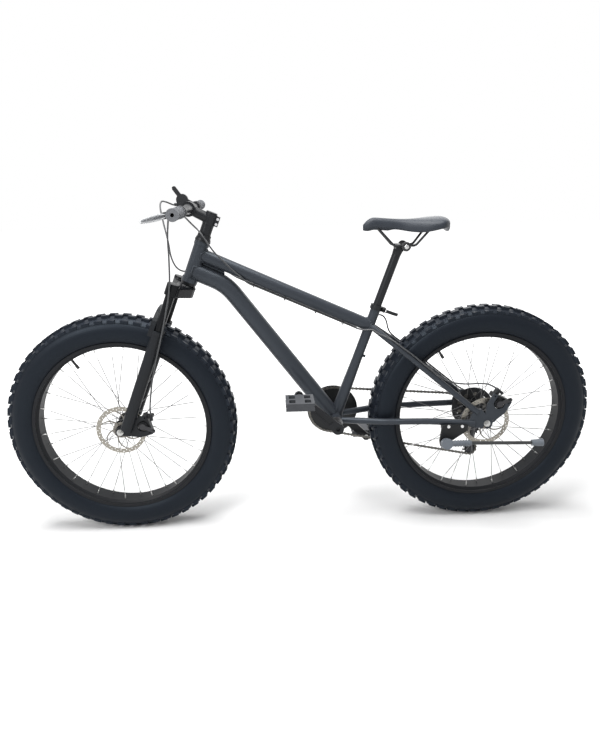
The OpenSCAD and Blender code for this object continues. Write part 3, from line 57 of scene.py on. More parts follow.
level = ahead.cross(Vector((0, 0, 1))).normalized()
upright = level.cross(ahead)
right = level * math.cos(roll) + upright * math.sin(roll)
above = upright * math.cos(roll) - level * math.sin(roll)
lens = bpy.data.cameras.new("camera")
lens.sensor_width = 36
lens.lens = 29.26
lens.clip_start = 0.05
camera = bpy.data.objects.new("camera", lens)
bpy.context.scene.collection.objects.link(camera)
camera.matrix_world = Matrix.Translation(eye) @ Matrix((right, above, -ahead)).transposed().to_4x4()
bpy.context.scene.camera = camera
bpy.context.scene.view_settings.view_transform = "Standard"


# Cable housings. Plastic-covered spiral steel tube, 5 mm thick, pushed into the
# barrels of the levers and of the brakes and bowed between them, with an inner wire.
class Wire:
    """A shader socket that Python's operators work on. Each sum on it adds a Math node."""

    def __init__(self, tree, socket=None):
        self.tree, self.socket = tree, socket

    def node(self, kind, settings=None, values=None, out=0):
        made = self.tree.nodes.new("ShaderNode" + kind)
        for name, value in (settings or {}).items():
            if name == "stops":
                while len(made.color_ramp.elements) < len(value):
                    made.color_ramp.elements.new(1)
                for stop, (at, tone) in zip(made.color_ramp.elements, value):
                    stop.position, stop.color = at, (tone, tone, tone, 1)
            else:
                setattr(made, name, value)
        for name, value in (values or {}).items():
            if isinstance(value, Wire):
                self.tree.links.new(value.socket, made.inputs[name])
            else:
                made.inputs[name].default_value = value
        return Wire(self.tree, made.outputs[out])

    def math(self, operation, a, b=0.0):
        return self.node("Math", {"operation": operation}, {0: a, 1: b})

    def __add__(self, other):
        return self.math("ADD", self, other)

    __radd__ = __add__

    def __sub__(self, other):
        return self.math("SUBTRACT", self, other)

    def __rsub__(self, other):
        return self.math("SUBTRACT", other, self)

    def __mul__(self, other):
        return self.math("MULTIPLY", self, other)

    __rmul__ = __mul__

    def __truediv__(self, other):
        return self.math("DIVIDE", self, other)

    def __rtruediv__(self, other):
        return self.math("DIVIDE", other, self)

    def __gt__(self, other):
        return self.math("GREATER_THAN", self, other)

    def __lt__(self, other):
        return self.math("LESS_THAN", self, other)

    def mix(self, a, b):
        """Colour a where this is 0, and b where it is 1."""
        return self.node("Mix", {"data_type": "RGBA"}, {0: self, 6: a, 7: b}, 2)

    def noise(self, scale, detail=2.0, rough=0.5):
        return self.node("TexNoise", {}, {"Vector": self, "Scale": scale, "Detail": detail, "Roughness": rough})

    def into(self, shader, socket):
        self.tree.links.new(self.socket, shader.inputs[socket])


def new_finish(name, colour, roughness, nodes=(), **constants):
    """A new material, given to these CAD nodes, with its shader and the place on the piece."""
    material = bpy.data.materials.new(name)
    material.use_nodes = True
    shader = material.node_tree.nodes["Principled BSDF"]
    shader.inputs["Base Color"].default_value = (*colour, 1)
    shader.inputs["Roughness"].default_value = roughness
    for socket, value in constants.items():
        shader.inputs[socket.replace("_", " ")].default_value = value
    for n in nodes:
        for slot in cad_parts[n].material_slots:
            slot.material = material
    return material, shader, Wire(material.node_tree).node("TexCoord", out="Object")


def raise_grain(height, shader, depth, strength=1.0):
    """Bump of that depth in metres from a height between 0 and 1."""
    height.node("Bump", {}, {"Height": height, "Distance": depth, "Strength": strength}).into(shader, "Normal")


def smooth_route(points, steps):
    """Points in metres on a smooth curve through points in millimetres."""
    p = [Vector(q) / 1000 for q in points]
    found = []
    for i in range(len(p) - 1):
        a, b, c, d = p[max(i - 1, 0)], p[i], p[i + 1], p[min(i + 2, len(p) - 1)]
        for k in range(steps):
            t = k / steps
            found.append(0.5 * (2 * b + (c - a) * t + (2 * a - 5 * b + 4 * c - d) * t * t
                                + (3 * b - a - 3 * c + d) * t ** 3))
    return found + [p[-1]]


def tube_mesh(name, path, radius, sides=14, closed=False):
    """Round tube along a path. The radius is a number, or a function of the share of the path."""
    mesh = bmesh.new()
    side, rings = Vector((0.12, 0.98, 0.15)), []
    last = len(path) - 1
    for i, point in enumerate(path):
        if closed:
            along = path[(i + 1) % len(path)] - path[i - 1]
        else:
            along = path[min(i + 1, last)] - path[max(i - 1, 0)]
        along.normalize()
        side = (side - along * side.dot(along)).normalized()
        other = along.cross(side)
        r = radius(i / last) if callable(radius) else radius
        turns = [2 * math.pi * k / sides for k in range(sides)]
        rings.append([mesh.verts.new(point + r * (math.cos(t) * side + math.sin(t) * other)) for t in turns])
    pairs = list(zip(rings, rings[1:])) + ([(rings[-1], rings[0])] if closed else [])
    for a, b in pairs:
        for k in range(sides):
            mesh.faces.new((a[k], a[(k + 1) % sides], b[(k + 1) % sides], b[k]))
    if not closed:
        mesh.faces.new(rings[0][::-1])
        mesh.faces.new(rings[-1])
    return from_bmesh(name, mesh)


def from_bmesh(name, mesh, material=None):
    for face in mesh.faces:
        face.smooth = True
    data = bpy.data.meshes.new(name)
    mesh.to_mesh(data)
    mesh.free()
    made = bpy.data.objects.new(name, data)
    bpy.context.scene.collection.objects.link(made)
    if material:
        data.materials.append(material)
    return made


housing_skin, shader, place = new_finish("housing skin", (0.045, 0.047, 0.05), 0.36)
winding = place.noise(900, 1)
(0.34 + 0.1 * place.noise(40, 3)).into(shader, "Roughness")
raise_grain(winding, shader, 0.00003)

front_brake_points = [
    (-367, -179, 1049), (-367, -173, 1049), (-367, -164, 1049), (-370, -140, 1051),
    (-377, -118, 1044), (-383, -108, 1020), (-388, -104, 975), (-389, -103, 920),
    (-394, -103, 839), (-410, -103, 765), (-436, -100, 670), (-455, -93, 610),
    (-472, -83, 550), (-484, -77, 490), (-489.7, -75.5, 450), (-489.7, -75.5, 440),
    (-489.2, -75.5, 429), (-488.7, -75.5, 419)]
rear_brake_points = [
    (-367, 179, 1049), (-367, 173, 1049), (-367, 164, 1049), (-374, 140, 1052),
    (-380, 108, 1051), (-374, 72, 1044), (-357, 38, 1034), (-334, 2, 1016), (-302, -25, 987),
    (-281, -32, 955), (-262, -33, 928), (-240, -30, 904), (-218, -26, 880), (-192, -23, 856),
    (-165, -15, 831), (-136, -8, 817), (-60, -8, 783), (60, -8, 729), (150, -8, 689),
    (180, -15, 677), (202, -25, 675), (222, -33, 677), (242, -43, 666), (280, -61, 649),
    (308, -76, 630), (349, -79, 599), (413, -86, 546), (462, -90, 515), (512, -95, 507),
    (552, -100, 509), (582, -103, 507), (604, -103, 497), (614, -103, 489), (620, -103, 484.4)]
shift_points = [
    (-396, 167, 1063), (-401, 167, 1063), (-406, 167, 1063), (-424, 150, 1072),
    (-434, 120, 1074), (-435, 96, 1055), (-424, 70, 1008), (-411, 48, 955), (-404, 36, 912),
    (-390, 31, 880), (-368, 32, 866), (-338, 34, 870), (-305, 33, 883), (-268, 29, 883),
    (-235, 25, 866), (-200, 17, 845), (-136, 8, 817), (-60, 8, 783), (60, 8, 729),
    (150, 8, 689), (180, 15, 678), (203, 25, 682), (226, 27, 697), (247, 29, 711),
    (267, 37, 706), (281, 50, 687), (292, 66, 655), (308, 77, 632), (349, 80, 599),
    (413, 87, 546), (477, 94, 493), (529, 103, 450), (562, 112, 424), (600, 119, 402),
    (640, 121, 378), (668, 117, 345), (672, 110, 316), (661, 106, 301), (648, 105.5, 300),
    (632, 105.5, 300)]
housing_r = 0.0025
for name, points, bodies, start, end in (
    ("front_brake_cable", front_brake_points, ("fork_slider", "steering"), (-0.485, -0.1, 0.47), (-0.40, -0.1, 0.82)),
    ("rear_brake_cable", rear_brake_points, ("frame", "steering"), (-0.20, 0, 0.862), (-0.33, 0, 1.0)),
    ("shift_cable", shift_points, ("frame", "steering"), (-0.25, 0, 0.862), (-0.40, 0, 0.96)),
):
    route = smooth_route(points, 5)
    cable = tube_mesh(name, route, housing_r)
    cable.data.materials.append(housing_skin)
    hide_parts(name.replace("cable", "housing"))
    sum((b - a).length for a, b in zip(route, route[1:]))
    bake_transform(cable)

# Floor, backdrop and lamps: a flat white floor under a white world, with one large soft box
# overhead and two weaker ones, on the camera's side and behind.
white_floor = bpy.data.materials.new("white floor")
white_floor.use_nodes = True
tree = white_floor.node_tree
tree.nodes.clear()
output = tree.nodes.new("ShaderNodeOutputMaterial")
rays = Wire(tree).node("LightPath", out="Is Camera Ray")
gloss = Wire(tree, rays.socket.node.outputs["Is Glossy Ray"])
through = Wire(tree, rays.socket.node.outputs["Is Transmission Ray"])
seen = rays.math("MAXIMUM", rays.math("MAXIMUM", rays, gloss), through)
matt = seen.node("BsdfDiffuse", {}, {"Color": (0.9, 0.9, 0.9, 1)})
from_bike = seen.node("VectorMath", {"operation": "LENGTH"}, {0: seen.node("TexCoord", out="Object")}, "Value")
far = from_bike.node("MapRange", {"interpolation_type": "SMOOTHSTEP"}, {"Value": from_bike, 1: 0.9, 2: 3.2})
glow = seen.node("Emission", {}, {"Color": (1, 1, 1, 1), "Strength": (0.04 + 0.96 * far) * seen})
seen.node("AddShader", {}, {0: matt, 1: glow}).into(output, "Surface")
floor_mesh = bmesh.new()
bmesh.ops.create_grid(floor_mesh, x_segments=8, y_segments=8, size=14)
floor = from_bmesh("floor", floor_mesh, white_floor)
floor.location.z = -0.0004

world = bpy.data.worlds.new("studio")
bpy.context.scene.world = world
world.use_nodes = True
sky = world.node_tree.nodes["Background"]
sky.inputs["Color"].default_value = (1, 1, 1, 1)
rays = Wire(world.node_tree).node("LightPath", out="Is Camera Ray")
gloss = Wire(world.node_tree, rays.socket.node.outputs["Is Glossy Ray"])
through = Wire(world.node_tree, rays.socket.node.outputs["Is Transmission Ray"])
seen = rays.math("MAXIMUM", rays.math("MAXIMUM", rays, gloss), through)
(0.2 + 0.8 * seen).into(sky, "Strength")

for name, at, size, power in (
    ("top_box", (-0.3, -0.2, 3.0), 2.4, 135),
    ("front_box", (-2.2, -2.2, 2.4), 1.2, 55),
    ("back_box", (1.4, 2.6, 2.2), 2.0, 20),
):
    lamp = bpy.data.lights.new(name, "AREA")
    lamp.shape, lamp.size, lamp.energy = "SQUARE", size, power
    box = bpy.data.objects.new(name, lamp)
    bpy.context.scene.collection.objects.link(box)
    box.location = at
    box.rotation_euler = (Vector((0, 0, 0.45)) - Vector(at)).to_track_quat("-Z", "Y").to_euler()

# Frame. Steel tubes, mitred and welded, rubbed down and sprayed in matt charcoal
# with a faint orange peel and a tone that is faintly cloudy.
paint, shader, place = new_finish(
    "charcoal paint", (0.03, 0.034, 0.041), 0.4,
    ["head_tube", "top_tube", "down_tube", "seat_tube", "chainstays", "seatstays"],
    Specular_IOR_Level=0.3, Specular_Tint=(0.8, 0.9, 1, 1))
peel = place.noise(420, 2)
cloudy = place.noise(9, 3)
cloudy.mix((0.024, 0.027, 0.033, 1), (0.031, 0.035, 0.042, 1)).into(shader, "Base Color")
(0.27 + 0.1 * cloudy).into(shader, "Roughness")
raise_grain(peel, shader, 0.00004)

# Headset, hubs, cranks, seat collar, seatpost and the parts of the cockpit: turned and forged
# alloy, sprayed or anodised black, with a soft shine.
black, shader, place = new_finish(
    "black anodised alloy", (0.017, 0.018, 0.02), 0.33,
    ["headset", "handlebar", "seat_collar", "seat_clamp_lever", "seatpost",
     "front_hub", "rear_hub", "left_crank", "right_crank", "steerer_spacers"],
    Metallic=0.35, Specular_IOR_Level=0.2)
streak = place.noise(70, 3)
(0.3 + 0.1 * streak).into(shader, "Roughness")

# Stem, with its two steel pinch bolts behind the steerer
stem_black, shader, place = new_finish("stem black", (0.014, 0.015, 0.017), 0.3, ["stem"], Specular_IOR_Level=0.2)
axis_x = place.node("SeparateXYZ", {}, {0: place}, "X")
tilted = place.node("VectorMath", {"operation": "DOT_PRODUCT"}, {0: place, 1: (0.92784, 0, -0.37299)}, "Value")
behind = tilted - (-0.348287 * 0.92784 - 0.838645 * 0.37299)
side_y = place.node("SeparateXYZ", {}, {0: place}, "Y")
bolt = (behind > 0.0185) * (side_y < -0.01005)
bolt.mix((0.014, 0.015, 0.017, 1), (0.6, 0.6, 0.61, 1)).into(shader, "Base Color")
bolt.into(shader, "Metallic")
(0.28 + 0.1 * place.noise(80, 2)).into(shader, "Roughness")

# Grips: ribbed soft rubber tubes pushed over the ends of the bar
grip_rubber, shader, place = new_finish("grip rubber", (0.13, 0.135, 0.145), 0.62, ["grips"])
mottle = place.noise(60, 3)
mottle.mix((0.115, 0.12, 0.13, 1), (0.15, 0.155, 0.167, 1)).into(shader, "Base Color")
raise_grain(place.noise(700, 2), shader, 0.00005)

# Lever clamps and the shifter's pod: glass-filled black plastic with a fine grain
moulding, shader, place = new_finish(
    "black moulding", (0.018, 0.019, 0.021), 0.45,
    ["lever_clamps", "shift_lever", "guide_pulley", "tension_pulley", "spoke_protector"], Specular_IOR_Level=0.2)
(0.4 + 0.15 * place.noise(50, 2)).into(shader, "Roughness")
raise_grain(place.noise(900, 2), shader, 0.00002)

# Brake levers: die-cast alloy, tumbled bright
lever_metal, shader, place = new_finish(
    "tumbled alloy", (0.6, 0.61, 0.62), 0.3, ["left_brake_lever", "right_brake_lever"], Metallic=1.0)
(0.28 + 0.1 * place.noise(60, 2)).into(shader, "Roughness")

# Fork. A gloss black crown and stanchions over sliding legs in satin charcoal
gloss_black, shader, place = new_finish(
    "gloss black", (0.006, 0.0065, 0.008), 0.16, ["fork_crown", "stanchions"], Specular_IOR_Level=0.12)
(0.14 + 0.08 * place.noise(30, 2)).into(shader, "Roughness")
leg_paint, shader, place = new_finish("leg paint", (0.010, 0.0115, 0.014), 0.36, ["fork_lowers"], Specular_IOR_Level=0.18)
(0.32 + 0.1 * place.noise(12, 3)).into(shader, "Roughness")
raise_grain(place.noise(500, 2), shader, 0.00003)



def turned(name, at, axis, profile, material, teeth=0, sides=48):
    """Turned piece on an axis. The profile lists places along it with their radius, in millimetres."""
    axis = Vector(axis).normalized()
    side = axis.orthogonal().normalized()
    other = axis.cross(side)
    mesh, rings = bmesh.new(), []
    for along, radius in profile:
        ring = []
        for k in range(sides):
            t = 2 * math.pi * k / sides
            r = radius * (1 + (0.035 * math.copysign(1, math.sin(teeth * t + 0.01)) if teeth else 0))
            ring.append(mesh.verts.new((Vector(at) + axis * along + r * (math.cos(t) * side + math.sin(t) * other)) / 1000))
        rings.append(ring)
    for a, b in zip(rings, rings[1:]):
        for k in range(sides):
            mesh.faces.new((a[k], a[(k + 1) % sides], b[(k + 1) % sides], b[k]))
    mesh.faces.new(rings[0][::-1])
    mesh.faces.new(rings[-1])
    return from_bmesh(name, mesh, material)


def softened(node, voxel, passes):
    """A copy of a CAD piece with its edges melted, as a casting or a forging has them."""
    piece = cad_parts[node].copy()
    piece.data = piece.data.copy()
    bpy.context.scene.collection.objects.link(piece)
    melt = piece.modifiers.new("melt", "REMESH")
    melt.mode, melt.voxel_size, melt.use_smooth_shade = "VOXEL", voxel, True
    even = piece.modifiers.new("even", "SMOOTH")
    even.factor, even.iterations = 0.5, passes
    seen_now = piece.evaluated_get(bpy.context.evaluated_depsgraph_get())
    data = bpy.data.meshes.new_from_object(seen_now)
    made = bpy.data.objects.new(node + "_soft", data)
    made.matrix_world = piece.matrix_world
    bpy.data.objects.remove(piece)
    bpy.context.scene.collection.objects.link(made)
    for face in data.polygons:
        face.use_smooth = True
    return made


def finish_piece(piece, body, replaced=None):
    if replaced:
        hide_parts(replaced)
    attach(piece, body)


crown = softened("fork_crown", 0.0015, 9)
crown.data.materials.clear()
crown.data.materials.append(gloss_black)
finish_piece(crown, "steering", "fork_crown")

# Finishes for the moulded rubber seal rings on top of the sliding legs and for the silver
# lips of the pressed caps on top of the crown, and the fork's directions.
seal, shader, place = new_finish("seal rubber", (0.10, 0.105, 0.11), 0.5)
lip, shader, place = new_finish("cap lip", (0.5, 0.5, 0.5), 0.25, Metallic=1.0)
fork_up, fork_back = Vector((0.37299, 0, 0.92784)), Vector((0.92784, 0, -0.37299))
head = Vector((-348.29, 0, 838.64))

# Brake levers: die-cast alloy blades, tumbled bright, thin in the clamp's slot and
# deep and rounded under the fingers. Each turns on a pin in its clamp.
bar = Vector((-334.544, 0, 1055.142))
tilt = math.radians(11)
blade_line = (
    (-36, 197, 15, 6), (-38.5, 203, 14.5, 6), (-40.5, 209, 12.5, 7), (-44, 217, 10.5, 13), (-50, 228, 9.5, 17),
    (-57, 241, 9, 18), (-64, 254, 8.6, 17.5), (-71, 268, 8.3, 16.5), (-78, 282, 8, 15), (-83.5, 294, 7.6, 13),
    (-87, 302, 7, 11), (-88.5, 306.5, 4.5, 7))
for name, hand in (("right_brake_lever", 1), ("left_brake_lever", -1)):
    mesh, rings = bmesh.new(), []
    for i, (x, y, thick, high) in enumerate(blade_line):
        before, after = blade_line[max(i - 1, 0)], blade_line[min(i + 1, len(blade_line) - 1)]
        run = Vector((after[0] - before[0], after[1] - before[1])).normalized()
        ring = []
        for k in range(24):
            t = math.radians(15 * k)
            out = math.copysign(abs(math.cos(t)) ** 0.6, math.cos(t)) * thick / 2
            up = math.copysign(abs(math.sin(t)) ** 0.6, math.sin(t)) * high / 2
            flat_x, flat_y = x - run.y * out, y + run.x * out
            spot = Vector((flat_x * math.cos(tilt) - up * math.sin(tilt), hand * flat_y,
                           flat_x * math.sin(tilt) + up * math.cos(tilt)))
            ring.append(mesh.verts.new((bar + spot) / 1000))
        rings.append(ring)
    for a, b in zip(rings, rings[1:]):
        for k in range(24):
            mesh.faces.new((a[k], a[(k + 1) % 24], b[(k + 1) % 24], b[k]))
    mesh.faces.new(rings[0][::-1])
    mesh.faces.new(rings[-1])
    bmesh.ops.recalc_face_normals(mesh, faces=mesh.faces)
    blade = from_bmesh(name + "_blade", mesh, lever_metal)
    soft_edges = blade.modifiers.new("even", "SUBSURF")
    soft_edges.levels = soft_edges.render_levels = 1
    finish_piece(blade, name.split("_")[0] + "_lever", name)

# Filler plate between the top tube and the down tube behind the head tube: flat
# steel, 3 mm thick, welded to both tubes and painted with them.
plate = bmesh.new()
columns = []
for k in range(15):
    x = -331 + 93 * k / 14
    high = 904.6 - 0.45 * (x + 322.6) + 1
    low_t = (x + 323.5) / 0.91
    low = 897.07 - 0.414 * low_t if low_t < 71.5 else 705.9 + math.sqrt(177.5 ** 2 - (x + 331.9) ** 2)
    columns.append([plate.verts.new(Vector(v) / 1000) for v in (
        (x, -1.6, low - 1), (x, -1.6, high), (x, 1.6, high), (x, 1.6, low - 1))])
for a, b in zip(columns, columns[1:]):
    for k in range(4):
        plate.faces.new((a[k], b[k], b[(k + 1) % 4], a[(k + 1) % 4]))
plate.faces.new(columns[0])
plate.faces.new(columns[-1][::-1])
bmesh.ops.recalc_face_normals(plate, faces=plate.faces)
finish_piece(from_bmesh("filler_plate", plate, paint), "frame")


def weld(name, start, along, radius, base, axis, base_radius, turns=44):
    """Bead where a round tube runs into a round one, with the ripples of its torch."""
    along, axis, start, base = Vector(along).normalized(), Vector(axis).normalized(), Vector(start), Vector(base)
    side = along.orthogonal().normalized()
    other = along.cross(side)
    path = []
    for k in range(160):
        t = 2 * math.pi * k / 160
        p = start + radius * (math.cos(t) * side + math.sin(t) * other)
        q = p - base
        qa, da = q - axis * q.dot(axis), along - axis * along.dot(axis)
        a, b, c = da.dot(da), 2 * qa.dot(da), qa.dot(qa) - base_radius ** 2
        reach = (-b - math.sqrt(max(0, b * b - 4 * a * c))) / (2 * a)
        path.append((p + along * reach) / 1000)
    bead = tube_mesh(name, path, lambda u: 0.0027 + 0.0006 * math.sin(2 * math.pi * turns * u), 10, True)
    bead.data.materials.append(paint)
    finish_piece(bead, "frame")


# Weld beads round both ends of the top tube, the head end of the down tube and the foot of the seat tube
bb = (106, 0, 370)
weld("weld_top_head", (-200, 0, 923.1 - 0.45 * 114.3), (-0.9119, 0, 0.4104), 20.25, head, fork_up, 22)
weld("weld_top_seat", (100, 0, 923.1 - 0.45 * 414.3), (0.9119, 0, -0.4104), 20.25, bb, (0.33545, 0, 0.94206), 15.9, 36)
weld("weld_down_head", (-270, 0, 872.04 - 0.455 * 64.86), (-0.91, 0, 0.414), 27.5, head, fork_up, 22, 60)
weld("weld_seat_bb", (106 + 0.33545 * 150, 0, 370 + 0.94206 * 150), (-0.33545, 0, -0.94206), 20, bb, (0, 1, 0), 22, 40)

# Seat clamp: serrated steel washers outside both rails, drawn together by a bolt
rail_x, rail_z = 307.5, 936
washer, shader, place = new_finish("clamp steel", (0.03, 0.03, 0.032), 0.35, Metallic=0.6)
for hand in (-1, 1):
    disc = turned("rail_washer" + ("_left" if hand < 0 else "_right"), (rail_x + 14, hand * 26.2, rail_z - 2),
                  (0, hand, 0), ((0, 13), (0.8, 14.2), (5.2, 14.2), (6, 13)), washer, 18, 108)
    finish_piece(disc, "seat")
    nut = turned("rail_nut" + ("_left" if hand < 0 else "_right"), (rail_x + 14, hand * 32, rail_z - 2),
                 (0, hand, 0), ((0, 7.5), (5, 7.5), (6, 6.6)), lip, 0, 6)
    finish_piece(nut, "seat")
bolt_rod = turned("rail_bolt", (rail_x + 14, -32, rail_z - 2), (0, 1, 0), ((0, 3.9), (64, 3.9)), washer, 0, 20)
finish_piece(bolt_rod, "seat")

# Clips under the top tube: one wire loop round both housings at each
for k, x in enumerate((-136, -38, 60, 148)):
    along = Vector((0.9119, 0, -0.4104))
    out = Vector((-0.4104, 0, -0.9119))
    at = Vector((-314.3, 0, 923.1)) + along * ((x + 314.3) / 0.9119 * 0.985)
    at = at + out * 25.2
    loop = []
    for i in range(40):
        t = 2 * math.pi * i / 40
        wide = math.copysign(abs(math.cos(t)) ** 0.5, math.cos(t)) * 13.2
        deep = math.copysign(abs(math.sin(t)) ** 0.5, math.sin(t)) * 4.6
        loop.append((at + Vector((0, wide, 0)) + out * deep) / 1000)
    clip = tube_mesh("housing_clip_%d" % (k + 1), loop, 0.0013, 8, True)
    clip.data.materials.append(moulding)
    finish_piece(clip, "frame")

# Tyres. Black rubber, moulded in one piece with their knobs. The sidewalls are
# smooth, with a few fine mould rings next to the rim.
for end, centre in (("front", -0.592), ("rear", 0.592)):
    rubber, shader, place = new_finish(
        end + " tyre rubber", (0.022, 0.023, 0.027), 0.6, [end + "_tyre"],
        Specular_IOR_Level=0.18, Specular_Tint=(0.72, 0.86, 1, 1))
    from_hub = place.node("VectorMath", {"operation": "SUBTRACT"}, {0: place, 1: (centre, 0, 0.371)})
    flat = place.node("VectorMath", {"operation": "MULTIPLY"}, {0: from_hub, 1: (1, 0, 1)})
    radius = place.node("VectorMath", {"operation": "LENGTH"}, {0: flat}, "Value")
    dusty = place.noise(14, 4, 0.6)
    tread = (radius > 0.352) * dusty
    tread.mix((0.006, 0.0075, 0.011, 1), (0.013, 0.016, 0.023, 1)).into(shader, "Base Color")
    (0.36 + 0.14 * dusty).into(shader, "Roughness")
    ring = (1900 * radius).math("SINE", 1900 * radius) * (radius < 0.302)
    raise_grain(0.5 * ring + 0.6 * place.noise(1100, 2), shader, 0.00012)

# Rims: rolled alloy, sprayed matt black
for end, centre in (("front", -0.592), ("rear", 0.592)):
    rim_black, shader, place = new_finish(
        end + " rim black", (0.010, 0.011, 0.013), 0.42, [end + "_rim"], Specular_IOR_Level=0.15)
    (0.38 + 0.12 * place.noise(18, 3)).into(shader, "Roughness")
    raise_grain(place.noise(800, 2), shader, 0.00002)
    valve, shader, place = new_finish(end + " tube rubber", (0.02, 0.02, 0.021), 0.55, [end + "_inner_tube"])
    raise_grain(place.noise(900, 2), shader, 0.00004)

# Spokes with their nipples, axles and nuts: bright drawn and turned steel
bright, shader, place = new_finish(
    "bright steel", (0.42, 0.42, 0.41), 0.3, ["front_axle", "rear_axle", "pedal_axles"], Metallic=1.0)
(0.24 + 0.2 * place.noise(90, 3)).into(shader, "Roughness")
for end, centre in (("front", -0.592), ("rear", 0.592)):
    drawn, shader, place = new_finish(
        end + " spoke steel", (0.16, 0.16, 0.16), 0.3, [end + "_spokes"], Metallic=1.0)
    from_hub = place.node("VectorMath", {"operation": "SUBTRACT"}, {0: place, 1: (centre, 0, 0.371)})
    flat = place.node("VectorMath", {"operation": "MULTIPLY"}, {0: from_hub, 1: (1, 0, 1)})
    nipple = place.node("VectorMath", {"operation": "LENGTH"}, {0: flat}, "Value") > 0.2385
    nipple.mix((0.12, 0.12, 0.122, 1), (0.62, 0.62, 0.61, 1)).into(shader, "Base Color")
    (0.26 + 0.16 * place.noise(300, 2)).into(shader, "Roughness")

# Brake rotors: stamped stainless steel, ground in rings where the pads rub
for end, centre in (("front", -0.592), ("rear", 0.592)):
    disc, shader, place = new_finish(end + " rotor steel", (0.5, 0.49, 0.46), 0.3, [end + "_rotor"], Metallic=1.0)
    from_hub = place.node("VectorMath", {"operation": "SUBTRACT"}, {0: place, 1: (centre, 0, 0.371)})
    flat = place.node("VectorMath", {"operation": "MULTIPLY"}, {0: from_hub, 1: (1, 0, 1)})
    radius = place.node("VectorMath", {"operation": "LENGTH"}, {0: flat}, "Value")
    track = radius > 0.063
    lines = (9000 * radius).math("SINE", 9000 * radius)
    track.mix((0.17, 0.16, 0.145, 1), (0.26, 0.245, 0.215, 1)).into(shader, "Base Color")
    (0.42 + 0.06 * lines).into(shader, "Roughness")
    raise_grain(lines * track, shader, 0.00001)

# Brake calipers: cast alloy, black, on two feet. The pad levers are black steel
cast, shader, place = new_finish(
    "cast black", (0.016, 0.017, 0.019), 0.45, ["front_caliper", "rear_caliper"], Specular_IOR_Level=0.2)
raise_grain(place.noise(700, 3), shader, 0.0001)
stamped, shader, place = new_finish(
    "stamped steel", (0.045, 0.045, 0.048), 0.4, ["front_caliper_arm", "rear_caliper_arm", "derailleur_cage"], Metallic=0.9)
(0.34 + 0.16 * place.noise(90, 3)).into(shader, "Roughness")

# Chain and sprockets: oiled steel, mottled brown-black with grime in patches
oiled, shader, place = new_finish("oiled steel", (0.12, 0.115, 0.105), 0.34, ["chain", "cassette"], Metallic=0.9)
grime = place.noise(55, 4, 0.65)
grime.mix((0.2, 0.195, 0.18, 1), (0.04, 0.037, 0.033, 1)).into(shader, "Base Color")
(0.26 + 0.3 * grime).into(shader, "Roughness")

# Chainring and guard: pressed steel under a moulded black guard
guard, shader, place = new_finish(
    "chainring black", (0.015, 0.016, 0.017), 0.42, ["chainring"], Specular_IOR_Level=0.2)
(0.36 + 0.16 * place.noise(40, 3)).into(shader, "Roughness")
bearing, shader, place = new_finish("bearing cups", (0.2, 0.2, 0.205), 0.38, ["bottom_bracket"], Metallic=0.9)
(0.3 + 0.2 * place.noise(90, 3)).into(shader, "Roughness")

# Pedals: moulded nylon platforms, grey-black, scuffed in patches
nylon, shader, place = new_finish(
    "pedal nylon", (0.05, 0.053, 0.06), 0.5, ["left_pedal", "right_pedal"], Specular_IOR_Level=0.24)
scuff = place.noise(45, 4, 0.6)
scuff.mix((0.035, 0.037, 0.042, 1), (0.07, 0.074, 0.082, 1)).into(shader, "Base Color")
raise_grain(place.noise(1200, 2), shader, 0.00008)

# Rear derailleur: a die-cast knuckle and barrel on the hanger
knuckle, shader, place = new_finish(
    "derailleur black", (0.018, 0.019, 0.021), 0.4, ["derailleur_body"], Metallic=0.3, Specular_IOR_Level=0.2)
(0.34 + 0.14 * place.noise(60, 3)).into(shader, "Roughness")

# Kickstand: cast bracket, black, with two zinc bolts; leg with a grey sleeve and foot
bracket, shader, place = new_finish(
    "bracket black", (0.014, 0.015, 0.016), 0.45, ["kickstand_bracket"], Specular_IOR_Level=0.2)
side_y = place.node("SeparateXYZ", {}, {0: place}, "Y")
height = place.node("SeparateXYZ", {}, {0: place}, "Z")
head_of_bolt = (side_y < -0.1112) * (height > 0.36)
head_of_bolt.mix((0.014, 0.015, 0.016, 1), (0.6, 0.6, 0.6, 1)).into(shader, "Base Color")
head_of_bolt.into(shader, "Metallic")
stand_leg, shader, place = new_finish("stand leg", (0.11, 0.125, 0.145), 0.42, ["kickstand_leg"])
reach = place.node("SeparateXYZ", {}, {0: place}, "X")
rod_part = (reach > 0.535) * (reach < 0.732)
rod_part.mix((0.11, 0.125, 0.145, 1), (0.016, 0.017, 0.018, 1)).into(shader, "Base Color")
(0.36 + 0.16 * place.noise(60, 3)).into(shader, "Roughness")

# Saddle rails: bent steel rod, black
rail_black, shader, place = new_finish(
    "rail black", (0.014, 0.015, 0.017), 0.3, ["saddle_rails"], Specular_IOR_Level=0.24)
(0.26 + 0.12 * place.noise(80, 2)).into(shader, "Roughness")

# Saddle. Foam on a moulded shell under a stretched, fine-grained black cover, which
# wraps round the edge. It is fixed to the two rails under it.
low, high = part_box("saddle")
saddle_long, saddle_half = high.x - low.x, high.y
saddle_top = 1.022


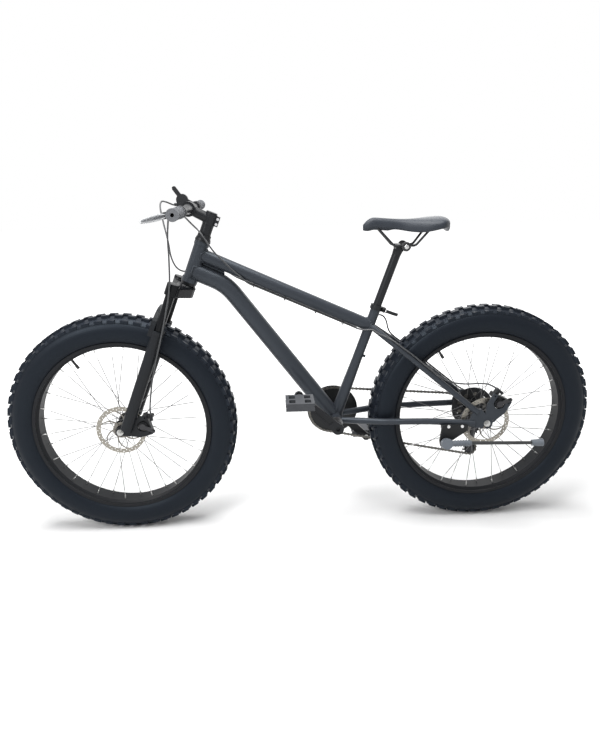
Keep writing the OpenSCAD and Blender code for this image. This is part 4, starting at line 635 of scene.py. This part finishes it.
def saddle_outline(s):
    """Half width, top and depth of the saddle at a share of its length, from the nose."""
    half = 0.081 * (0.2 + 0.8 / (1 + math.exp(-13 * (s - 0.62))))
    half *= math.sin(math.radians(min(90, 4 + s * 620))) ** 0.5
    half *= max(0, math.cos(math.radians(max(0, s - 0.86) * 540))) ** 0.6
    top = saddle_top - 0.007 * math.sin(math.pi * s) ** 2 - 0.024 * (1 - min(1, s / 0.14)) ** 2
    top -= 0.010 * (max(0, s - 0.9) / 0.1) ** 2
    deep = 0.037 + 0.016 * math.sin(math.pi * max(0, (s - 0.34) / 0.66)) ** 1.5
    deep -= 0.022 * (1 - min(1, s / 0.1)) ** 2
    return half, top, deep, 0.020 * math.sin(math.pi * max(0, (s - 0.3) / 0.7))


def signed(value, power):
    return math.copysign(abs(value) ** power, value)


padding = bmesh.new()
rings = []
for i in range(49):
    s = 0.004 + 0.992 * i / 48
    half, top, deep, hollow = saddle_outline(s)
    ring = []
    for k in range(48):
        a = math.radians(-90 + 7.5 * k)
        up = signed(math.sin(a), 0.75 if math.sin(a) > 0 else 0.55)
        wide = signed(math.cos(a), 0.8) * (0.86 if math.sin(a) < -0.3 else 1)
        height = top - deep / 2 + deep / 2 * up + hollow * max(0, -math.sin(a)) ** 2
        ring.append(padding.verts.new((low.x + saddle_long * s, half * wide, height)))
    rings.append(ring)
for a, b in zip(rings, rings[1:]):
    for k in range(48):
        padding.faces.new((a[k], b[k], b[(k + 1) % 48], a[(k + 1) % 48]))
padding.faces.new(rings[0])
padding.faces.new(rings[-1][::-1])
saddle = from_bmesh("saddle_cover", padding)
vinyl, shader, place = new_finish("saddle vinyl", (0.028, 0.031, 0.037), 0.42, Specular_IOR_Level=0.24)
leather_cells = place.node("TexVoronoi", {"feature": "DISTANCE_TO_EDGE"}, {"Vector": place, "Scale": 900}, "Distance")
worn = place.noise(22, 3)
worn.mix((0.022, 0.026, 0.034, 1), (0.034, 0.040, 0.050, 1)).into(shader, "Base Color")
(0.38 + 0.12 * worn).into(shader, "Roughness")
raise_grain(leather_cells, shader, 0.00025, 0.5)
saddle.data.materials.append(vinyl)
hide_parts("saddle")
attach(saddle, "seat")
